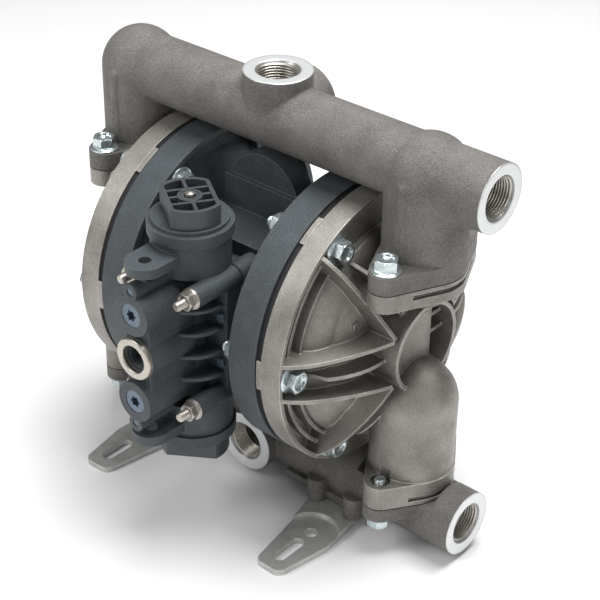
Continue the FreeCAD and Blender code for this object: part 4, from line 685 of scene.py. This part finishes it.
@dataclass(frozen=True)
class Head:
    """Flange bolt head or nut: a coned washer, a chamfered hexagon and a dished top.

    Sizes are in millimetres, and heights start at the seat.
    """

    flange_rad: float = 11.8
    across_flats: float = 16.0
    flange_rise: float = 1.2
    flange_top: float = 2.5
    height: float = 10.3
    chamfer: float = 1.1
    dish_rad: float = 6.0
    dish_deep: float = 2.4
    bore_rad: float = 0.0
    soft: float = 0.35
    least_bore_rad: float = 0.6
    around: int = 48

    def rows(self) -> list[list[Vector]]:
        """Draws the head about +Z.

        Returns:
            Rings in metres, from its seat to its dish.
        """
        corner = self.across_flats / math.sqrt(3)
        half = self.across_flats / 2
        floor_rad = max(self.bore_rad, self.least_bore_rad)
        dish_floor = self.height - self.dish_deep
        sizes = [
            (self.flange_rad - self.soft, 0.0, False),
            (self.flange_rad, self.soft, False),
            (self.flange_rad, self.flange_rise, False),
            (self.flange_rad - 0.4, self.flange_rise + 0.25, False),
            (corner + 0.7, self.flange_top - 0.3, False),
            (corner + 0.2, self.flange_top, True),
            (corner, self.flange_top + 0.4, True),
            (corner, self.height - self.chamfer, True),
            (half + 0.25, self.height - 0.12, True),
            (half - 0.3, self.height, False),
            (self.dish_rad + 0.3, self.height, False),
            (self.dish_rad - 0.2, self.height - 0.3, False),
            (self.dish_rad - 1.2, dish_floor + 0.4, False),
            (max(self.dish_rad - 2.0, floor_rad + 0.2), dish_floor, False),
            (floor_rad, dish_floor, False),
        ]
        rows = []
        for radius, rise, hexed in sizes:
            ring = []
            for k in range(self.around):
                angle = 2 * math.pi * k / self.around
                reach = min(radius, hex_reach(angle, self.across_flats)) if hexed else radius
                ring.append(Vector((reach * math.cos(angle), reach * math.sin(angle), rise)) * MM)
            rows.append(ring)
        return rows


@dataclass(frozen=True)
class Screw:
    """Threaded rod along +Z, with a plain run at its root and a chamfer at its tip.

    Sizes are in millimetres.
    """

    radius: float
    length: float
    pitch: float
    depth: float
    plain: float
    tip_pitches: float = 1.2
    crest_taper: float = 1.2
    root_taper: float = 0.2
    around: int = 20
    per_pitch: int = 4

    def rows(self) -> list[list[Vector]]:
        """Draws the rod, with the ridge winding round it.

        Returns:
            Rings in metres, from its root to its tip.
        """
        step = self.pitch / self.per_pitch
        count = int((self.length - self.plain) / step)
        heights = [0.0] + [self.plain + step * k for k in range(count + 1)]
        rows = []
        for height in heights:
            ring = []
            near_tip = max(0.0, 1.0 - (self.length - height) / (self.tip_pitches * self.pitch))
            for k in range(self.around):
                angle = 2 * math.pi * k / self.around
                wave = abs(((height / self.pitch + k / self.around) % 1.0) - 0.5) * 2.0
                cut = 0.0 if height <= self.plain else self.depth * (1.0 - wave)
                taper = self.crest_taper if cut < self.depth else self.root_taper
                reach = self.radius - cut - near_tip * self.depth * taper
                ring.append(Vector((reach * math.cos(angle), reach * math.sin(angle), height)) * MM)
            rows.append(ring)
        return rows


@dataclass(frozen=True)
class PortThread:
    """Helical ridge inside a round port, running inwards from its face.

    The face is in metres and all other sizes are in millimetres.
    """

    name: str
    face: Point
    inwards: Point
    bore_rad: float = 15.4
    depth: float = 1.0
    pitch: float = 2.2
    start: float = 1.4
    turns: float = 8.8
    mouth_rad: float = 17.4
    mouth_deep: float = 3.0
    slot: str = "stainless"
    grow_turns: float = 0.5
    least_end: float = 0.02
    least_ridge: float = 0.05
    wall_sunk: float = 0.15
    root_share: float = 0.46
    crest_share: float = 0.06
    around: int = 40

    def rows(self) -> list[list[Vector]]:
        """Draws the ridge in its port.

        Returns:
            Sections in metres, from the face inwards.
        """
        inwards = Vector(self.inwards)
        steps = int(self.turns * self.around)
        grow_steps = self.grow_turns * self.around
        opened = max(0.0, self.mouth_rad - self.bore_rad)
        half = self.root_share * self.pitch
        flat = self.crest_share * self.pitch
        sections = []
        for k in range(steps + 1):
            angle = 2 * math.pi * k / self.around
            grown = min(1.0, k / grow_steps, (steps - k) / grow_steps + self.least_end)
            rise = self.start + self.pitch * k / self.around
            flare = opened * max(0.0, 1.0 - rise / self.mouth_deep)
            crest = self.bore_rad + flare - self.depth * max(grown, self.least_ridge)
            wall = self.bore_rad + flare + self.wall_sunk
            section = []
            for reach, offset in ((wall, -half), (crest, -flat), (crest, flat), (wall, half)):
                spot = Vector((reach * math.cos(angle), reach * math.sin(angle), rise + offset))
                section.append(spot * MM)
            sections.append(lay(section, inwards, self.face))
        return sections


@dataclass
class Threads:
    """Pipe threads of the open ports."""

    ports: tuple[PortThread, ...] = (
        PortThread("discharge_right_thread", DISCHARGE_RIGHT, INTO_RIGHT),
        PortThread("discharge_top_thread", DISCHARGE_TOP, INTO_TOP),
        PortThread("suction_right_thread", SUCTION_RIGHT, INTO_RIGHT),
        PortThread("suction_front_thread", SUCTION_FRONT, INTO_FRONT, turns=7.8),
        PortThread("exhaust_thread", EXHAUST, INTO_REAR, bore_rad=15.5, turns=9.0, mouth_rad=17.5,
                   slot="slate_casting"),
        PortThread("air_inlet_thread", AIR_INLET, INTO_FRONT, bore_rad=10.4, depth=0.9, pitch=1.4, start=1.5,
                   turns=11.0, mouth_rad=0.0, slot="slate_casting"),
    )

    def build(self, finishes: FinishSet) -> None:
        """Makes one piece for each port.

        Args:
            finishes: The finishes by slot.
        """
        for port in self.ports:
            kit = MeshKit(port.name)
            kit.grid(port.rows())
            kit.finish(finishes, port.slot, "pump")


@dataclass
class ValveTrim:
    """Outer bands of the air valve's fins, and the turned ring of its inlet."""

    axis_z: float = 175.0
    valve_y: float = 94.5
    fin_rises: tuple[float, ...] = (-30.0, -10.0, 10.0, 30.0)
    fin_rads: tuple[float, float] = (27.4, 32.0)
    fin_half: float = 1.6
    fin_chamfer: float = 0.7
    fin_reach: float = 88.0
    ring_face_y: float = 158.5
    ring_root_y: float = 154.5
    ring_rads: tuple[float, float] = (10.9, 17.0)
    ring_round: float = 1.3
    round_steps: int = 4
    around: int = 64

    def add_band(self, kit: MeshKit, rise: float) -> None:
        """Adds the half ring that carries one fin out to its edge.

        Args:
            kit: The piece to add to.
            rise: The fin's height over the valve's middle.
        """
        inner, outer = self.fin_rads
        height = self.axis_z + rise
        half = self.fin_half
        chamfer = self.fin_chamfer
        profile = ((inner, -half), (outer - chamfer, -half), (outer, -half + chamfer),
                   (outer, half - chamfer), (outer - chamfer, half), (inner, half))
        rows = []
        for k in range(self.around + 1):
            turn = math.radians(90.0 - self.fin_reach + 2 * self.fin_reach * k / self.around)
            across, out = math.cos(turn), math.sin(turn)
            rows.append([Vector((-reach * across, -self.valve_y - reach * out, height + offset)) * MM
                         for reach, offset in profile])
        kit.grid(rows)

    def add_ring(self, kit: MeshKit) -> None:
        """Adds the ring round the air inlet, with both edges of its face rounded.

        Args:
            kit: The piece to add to.
        """
        inner, outer = self.ring_rads
        soft = self.ring_round
        profile = [(inner, self.ring_root_y), (outer, self.ring_root_y)]
        for middle, start in ((outer - soft, 0.0), (inner + soft, 90.0)):
            for k in range(self.round_steps + 1):
                turn = math.radians(start + 90.0 / self.round_steps * k)
                profile.append((middle + soft * math.cos(turn),
                                self.ring_face_y - soft + soft * math.sin(turn)))
        rows = []
        for k in range(self.around):
            turn = math.tau * k / self.around
            rows.append([Vector((reach * math.cos(turn), -y, self.axis_z + reach * math.sin(turn))) * MM
                         for reach, y in profile])
        kit.grid(rows, looped=True)

    def build(self, finishes: FinishSet) -> None:
        """Makes the fin bands and the inlet ring.

        Args:
            finishes: The finishes by slot.
        """
        bands = MeshKit("valve_fin_bands")
        for rise in self.fin_rises:
            self.add_band(bands, rise)
        bands.finish(finishes, "slate_casting", "pump")
        ring = MeshKit("air_inlet_ring_turned")
        self.add_ring(ring)
        ring.finish(finishes, "stainless", "pump", ("air_inlet_ring",))


@dataclass(frozen=True)
class SeamShadeStrip:
    """Dark strip round one two-bolt flange that paints the shade in the gap at its joint, with sizes in
    millimetres.
    """

    z: float
    middle_rad: float
    bolt_y: float
    end_rad: float = 12.5
    half: float = 0.4
    proud: float = 0.08
    sunk: float = 0.6
    steps: int = 14

    def rows(self, leg_x: float) -> list[list[Vector]]:
        """Draws the line round its flange.

        Args:
            leg_x: The flange's middle along X.

        Returns:
            Sections in metres, in order round the flange.
        """
        lean = math.asin((self.middle_rad - self.end_rad) / self.bolt_y)
        profile = ((-self.sunk, -self.half), (self.proud, -self.half), (self.proud, self.half),
                   (-self.sunk, self.half))
        arcs = (
            (0.0, self.middle_rad, -lean, lean),
            (self.bolt_y, self.end_rad, lean, math.pi - lean),
            (0.0, self.middle_rad, math.pi - lean, math.pi + lean),
            (-self.bolt_y, self.end_rad, math.pi + lean, math.tau - lean),
        )
        rows = []
        for middle_y, radius, start, end in arcs:
            for k in range(self.steps + 1):
                turn = start + (end - start) * k / self.steps
                section = []
                for offset, rise in profile:
                    reach = radius + offset
                    section.append(Vector((leg_x + reach * math.cos(turn), middle_y + reach * math.sin(turn),
                                           self.z + rise)) * MM)
                rows.append(section)
        return rows


@dataclass
class SeamShadeStrips:
    """Dark strips that paint the shade in the gaps where the two manifolds meet the covers."""

    leg_x: float = 142.4
    shade_strips: tuple[SeamShadeStrip, ...] = (SeamShadeStrip(243.5, 31.7, 45.0), SeamShadeStrip(47.7, 34.4, 39.0))

    def build(self, finishes: FinishSet) -> None:
        """Makes the four lines as one piece.

        Args:
            finishes: The finishes by slot.
        """
        kit = MeshKit("seam_shade_strips")
        for seam in self.shade_strips:
            for x in (-self.leg_x, self.leg_x):
                kit.grid(seam.rows(x), looped=True)
        # black rubber finish here is painted shade in the gaps at the joints
        kit.finish(finishes, "black_rubber", "pump")


@dataclass
class CastDetails:
    """Small cast forms of the covers: clamping tabs, ejector marks and centre bumps."""

    axis_z: float = 175.0
    tab_half: float = 6.2
    tab_rads: tuple[float, float] = (111.1, 112.65)
    tab_span: tuple[float, float] = (80.4, 84.9)
    tab_steps: int = 8
    column_x: float = 140.0
    marks: tuple[tuple[float, float], ...] = ((9.0, 192.5), (9.6, 156.0))
    bumps: tuple[tuple[float, float], ...] = ((-7.4, 191.3), (-16.4, 176.6))
    mark_rad: float = 4.4
    mark_rise: float = 0.45
    bump_rad: float = 1.5
    bump_rise: float = 0.6
    button_sunk: float = 0.3
    button_shoulder: float = 0.6
    button_soft: float = 0.25
    button_middle_rad: float = 0.2
    around: int = 28

    def add_tab(self, kit: MeshKit, sign: int, middle: float) -> None:
        """Adds one arc-shaped tab in the gap between a cover and its disc.

        Args:
            kit: The piece to add to.
            sign: The side along X, 1 for right and -1 for left.
            middle: The tab's angle from the front, in degrees.
        """
        near, far = self.tab_span
        inner, outer = self.tab_rads
        rows = []
        for k in range(self.tab_steps + 1):
            turn = math.radians(middle - self.tab_half + 2 * self.tab_half * k / self.tab_steps)
            front, up = -math.cos(turn), math.sin(turn)
            rows.append([Vector((sign * x, radius * front, self.axis_z + radius * up)) * MM
                         for x, radius in ((near, inner), (near, outer), (far, outer), (far, inner))])
        kit.grid(rows)

    def add_button(self, kit: MeshKit, spot: Point, out: Vector, radius: float, rise: float) -> None:
        """Adds a low round form with a softened edge.

        Args:
            kit: The piece to add to.
            spot: Its middle, in millimetres.
            out: The direction that it rises in.
            radius: Its radius.
            rise: Its height.
        """
        turns = [math.tau * k / self.around for k in range(self.around)]
        rows = []
        for reach, height in ((radius, -self.button_sunk), (radius, rise * self.button_shoulder),
                              (radius - self.button_soft, rise), (self.button_middle_rad, rise)):
            ring = [Vector((reach * math.cos(turn), reach * math.sin(turn), height)) * MM for turn in turns]
            rows.append(lay(ring, out, tuple(MM * c for c in spot)))
        kit.grid(rows)

    def build(self, finishes: FinishSet) -> None:
        """Makes the details of both covers.

        Args:
            finishes: The finishes by slot.
        """
        for side, sign in (("right", 1), ("left", -1)):
            kit = MeshKit("%s_cover_details" % side)
            out = Vector((sign, 0.0, 0.0))
            for angle in range(0, 360, COVER_STEP):
                self.add_tab(kit, sign, angle)
            for y, z in self.marks:
                self.add_button(kit, (sign * self.column_x, y, z), out, self.mark_rad, self.mark_rise)
            for y, z in self.bumps:
                self.add_button(kit, (sign * self.column_x, y, z), out, self.bump_rad, self.bump_rise)
            kit.finish(finishes, "die_cast", "pump")


@dataclass
class Fasteners:
    """Flange bolts, nuts and studs with their chamfers, dishes and threads."""

    axis_z: float = 175.0
    bolt_circle: float = 99.0
    cover_seat_x: float = 101.05
    disc_back_x: float = 53.75
    cover_tip_x: float = 38.0
    leg_x: float = 142.4
    upper_bolt_y: float = 45.0
    upper_seat_z: float = 258.05
    lower_bolt_y: float = 39.0
    lower_seat_z: float = 35.65
    suction_tip_z: float = 70.0
    discharge_tip_z: float = 233.0
    bolt_rad: float = 4.85
    pitch: float = 1.5
    thread_deep: float = 0.75
    cover_runout: float = 4.0
    flange_plain: float = 10.0
    stud_x: float = 28.5
    stud_rise: float = 49.0
    stud_rad: float = 3.9
    stud_pitch: float = 1.25
    stud_thread_deep: float = 0.6
    stud_root_y: float = 66.0
    stud_tip_y: float = 141.0
    stud_seat_y: float = 124.05
    bolt_head: Head = Head()
    cover_nut: Head = Head(height=9.9, dish_rad=6.4, dish_deep=1.0, bore_rad=4.4)
    stud_nut: Head = Head(flange_rad=8.6, across_flats=13.0, flange_rise=0.9, flange_top=2.4, height=8.4,
                          chamfer=0.9, dish_rad=5.0, dish_deep=0.7, bore_rad=3.6)

    def ring_spots(self) -> list[tuple[float, float]]:
        """Y and Z of the six cover bolts, in millimetres."""
        turns = [math.radians(angle) for angle in range(0, 360, COVER_STEP)]
        return [(-self.bolt_circle * math.cos(turn), self.axis_z + self.bolt_circle * math.sin(turn))
                for turn in turns]

    @staticmethod
    def place(kit: MeshKit, rows: list[list[Vector]], out: Vector, spot: Point) -> None:
        """Adds one shell at a spot given in millimetres."""
        origin = tuple(MM * c for c in spot)
        kit.grid([lay(row, out, origin) for row in rows])

    def build_cover_side(self, finishes: FinishSet, side: str, sign: int) -> None:
        """Makes the bolts through one cover and the nuts behind its disc.

        Args:
            finishes: The finishes by slot.
            side: The side's name.
            sign: The side along X, 1 for right and -1 for left.
        """
        out = Vector((sign, 0.0, 0.0))
        bolts = MeshKit("%s_cover_bolts_cut" % side)
        nuts = MeshKit("%s_cover_nuts_cut" % side)
        shank = Screw(self.bolt_rad, self.cover_seat_x - self.cover_tip_x, self.pitch, self.thread_deep,
                      plain=self.cover_seat_x - self.disc_back_x - self.cover_runout)
        for y, z in self.ring_spots():
            self.place(bolts, self.bolt_head.rows(), out, (sign * self.cover_seat_x, y, z))
            self.place(bolts, shank.rows(), -out, (sign * self.cover_seat_x, y, z))
            self.place(nuts, self.cover_nut.rows(), -out, (sign * self.disc_back_x, y, z))
        bolts.finish(finishes, "zinc_steel", "pump", ("%s_cover_bolts" % side,))
        nuts.finish(finishes, "zinc_steel", "pump", ("%s_cover_nuts" % side,))

    def build_flanges(self, finishes: FinishSet) -> None:
        """Makes the bolts of both manifolds.

        Args:
            finishes: The finishes by slot.
        """
        for name, y, seat, tip, up in (
            ("discharge_bolts", self.upper_bolt_y, self.upper_seat_z, self.discharge_tip_z, 1),
            ("suction_bolts", self.lower_bolt_y, self.lower_seat_z, self.suction_tip_z, -1),
        ):
            kit = MeshKit("%s_cut" % name)
            out = Vector((0.0, 0.0, up))
            shank = Screw(self.bolt_rad, abs(seat - tip), self.pitch, self.thread_deep,
                          plain=self.flange_plain)
            for x in (-self.leg_x, self.leg_x):
                for side in (-y, y):
                    self.place(kit, self.bolt_head.rows(), out, (x, side, seat))
                    self.place(kit, shank.rows(), -out, (x, side, seat))
            kit.finish(finishes, "zinc_steel", "pump", (name,))

    def build_studs(self, finishes: FinishSet) -> None:
        """Makes the valve's studs and their nuts.

        Args:
            finishes: The finishes by slot.
        """
        studs = MeshKit("valve_studs_cut")
        nuts = MeshKit("valve_nuts_cut")
        out = Vector((0.0, -1.0, 0.0))
        length = self.stud_tip_y - self.stud_root_y
        rod = Screw(self.stud_rad, length, self.stud_pitch, self.stud_thread_deep,
                    plain=self.stud_seat_y - self.stud_root_y)
        for x in (-self.stud_x, self.stud_x):
            for z in (self.axis_z - self.stud_rise, self.axis_z + self.stud_rise):
                self.place(studs, rod.rows(), out, (x, -self.stud_root_y, z))
                self.place(nuts, self.stud_nut.rows(), out, (x, -self.stud_seat_y, z))
        studs.finish(finishes, "stainless", "pump", ("valve_studs",))
        nuts.finish(finishes, "stainless", "pump", ("valve_nuts",))

    def build(self, finishes: FinishSet) -> None:
        """Makes every fastener that shows.

        Args:
            finishes: The finishes by slot.
        """
        for side, sign in (("right", 1), ("left", -1)):
            self.build_cover_side(finishes, side, sign)
        self.build_flanges(finishes)
        self.build_studs(finishes)


# Stage


@dataclass(frozen=True)
class Lamp:
    """Round soft lamp, with its spot and size in metres and its power in watts."""

    name: str
    spot: Point
    size: float
    power: float


@dataclass
class Studio:
    """Floor, soft lamps, pale background and the photograph's camera."""

    target: Point = (-0.02461, 0.0, 0.13862)
    azimuth: float = 41.87
    elevation: float = 32.33
    distance: float = 1.33683
    focal_px: float = 1639.51
    centre_px: tuple[float, float] = (251.73, 303.73)
    frame_px: float = 600.0
    sensor_mm: float = 36.0
    view_end: float = 20.0
    floor_half: float = 6.0
    floor_tone: Color = (0.86, 0.86, 0.86)
    floor_roughness: float = 0.9
    world_light: float = 0.145
    world_white: float = 1.0
    lamp_aim: Point = (0.0, 0.0, 0.17)
    lamps: tuple[Lamp, ...] = (
        Lamp("key", (-0.9, -1.5, 1.7), 1.2, 27.0),
        Lamp("fill", (1.7, -0.6, 0.9), 1.2, 6.0),
        Lamp("low", (0.1, -1.5, 0.3), 0.8, 1.4),
        Lamp("top", (0.2, 0.3, 1.8), 1.3, 44.0),
    )

    def build(self) -> None:
        """Sets the whole stage up."""
        self.add_floor()
        self.add_lamps()
        self.add_world()
        self.add_camera()
        bpy.context.scene.view_settings.view_transform = "Standard"

    def add_floor(self) -> None:
        """Adds a wide pale floor that shows white to the camera."""
        mesh = bpy.data.meshes.new("floor")
        shape = bmesh.new()
        bmesh.ops.create_grid(shape, x_segments=1, y_segments=1, size=self.floor_half)
        shape.to_mesh(mesh)
        shape.free()
        floor = bpy.data.objects.new("floor", mesh)
        bpy.context.scene.collection.objects.link(floor)
        material, _, shader = new_material("floor_paper")
        shader.inputs["Base Color"].default_value = shade(self.floor_tone)
        shader.inputs["Roughness"].default_value = self.floor_roughness
        mesh.materials.append(material)

    def add_lamps(self) -> None:
        """Adds a key lamp, two fill lamps and a top lamp, all wide and soft."""
        for plan in self.lamps:
            light = bpy.data.lights.new(plan.name, "AREA")
            light.shape = "DISK"
            light.size = plan.size
            light.energy = plan.power
            lamp = bpy.data.objects.new(plan.name, light)
            lamp.location = plan.spot
            aim = Vector(self.lamp_aim) - Vector(plan.spot)
            lamp.rotation_euler = aim.to_track_quat("-Z", "Y").to_euler()
            bpy.context.scene.collection.objects.link(lamp)

    def add_world(self) -> None:
        """Makes the world a soft grey light that shows white to the camera."""
        world = bpy.data.worlds.new("studio")
        world.use_nodes = True
        nodes = NodeTree(world.node_tree)
        back = world.node_tree.nodes["Background"]
        seen = nodes.add("LightPath").outputs["Is Camera Ray"]
        back.inputs["Color"].default_value = (1.0, 1.0, 1.0, 1.0)
        nodes.feed(back.inputs["Strength"], nodes.ramp(seen, 0.0, 1.0, self.world_light, self.world_white))
        bpy.context.scene.world = world

    def add_camera(self) -> None:
        """Adds the camera at the photograph's place, with a slight shift."""
        data = bpy.data.cameras.new("camera")
        data.sensor_width = self.sensor_mm
        data.lens = data.sensor_width * self.focal_px / self.frame_px
        data.shift_x = (self.frame_px / 2 - self.centre_px[0]) / self.frame_px
        data.shift_y = (self.centre_px[1] - self.frame_px / 2) / self.frame_px
        data.clip_end = self.view_end
        camera = bpy.data.objects.new("camera", data)
        turn = math.radians(self.azimuth)
        lift = math.radians(self.elevation)
        away = Vector((math.sin(turn) * math.cos(lift), -math.cos(turn) * math.cos(lift), math.sin(lift)))
        camera.location = Vector(self.target) + away * self.distance
        camera.rotation_euler = (-away).to_track_quat("-Z", "Y").to_euler()
        bpy.context.scene.collection.objects.link(camera)
        bpy.context.scene.camera = camera


def main() -> None:
    """Builds the finishes, the pieces and the stage in order."""
    logging.basicConfig(level=logging.INFO, format="%(name)s: %(message)s")
    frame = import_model()
    finishes = FinishSet()
    finishes.build()
    for part in frame["record"]["subparts"]:
        node = part["node"]
        slot = DARK_STEEL if node in DARK_STEEL_NODES else part["material_slot"]
        finishes.dress(frame["nodes"][node], slot)
    Threads().build(finishes)
    Fasteners().build(finishes)
    ValveTrim().build(finishes)
    SeamShadeStrips().build(finishes)
    CastDetails().build(finishes)
    Studio().build()


if __name__ == "__main__":
    main()
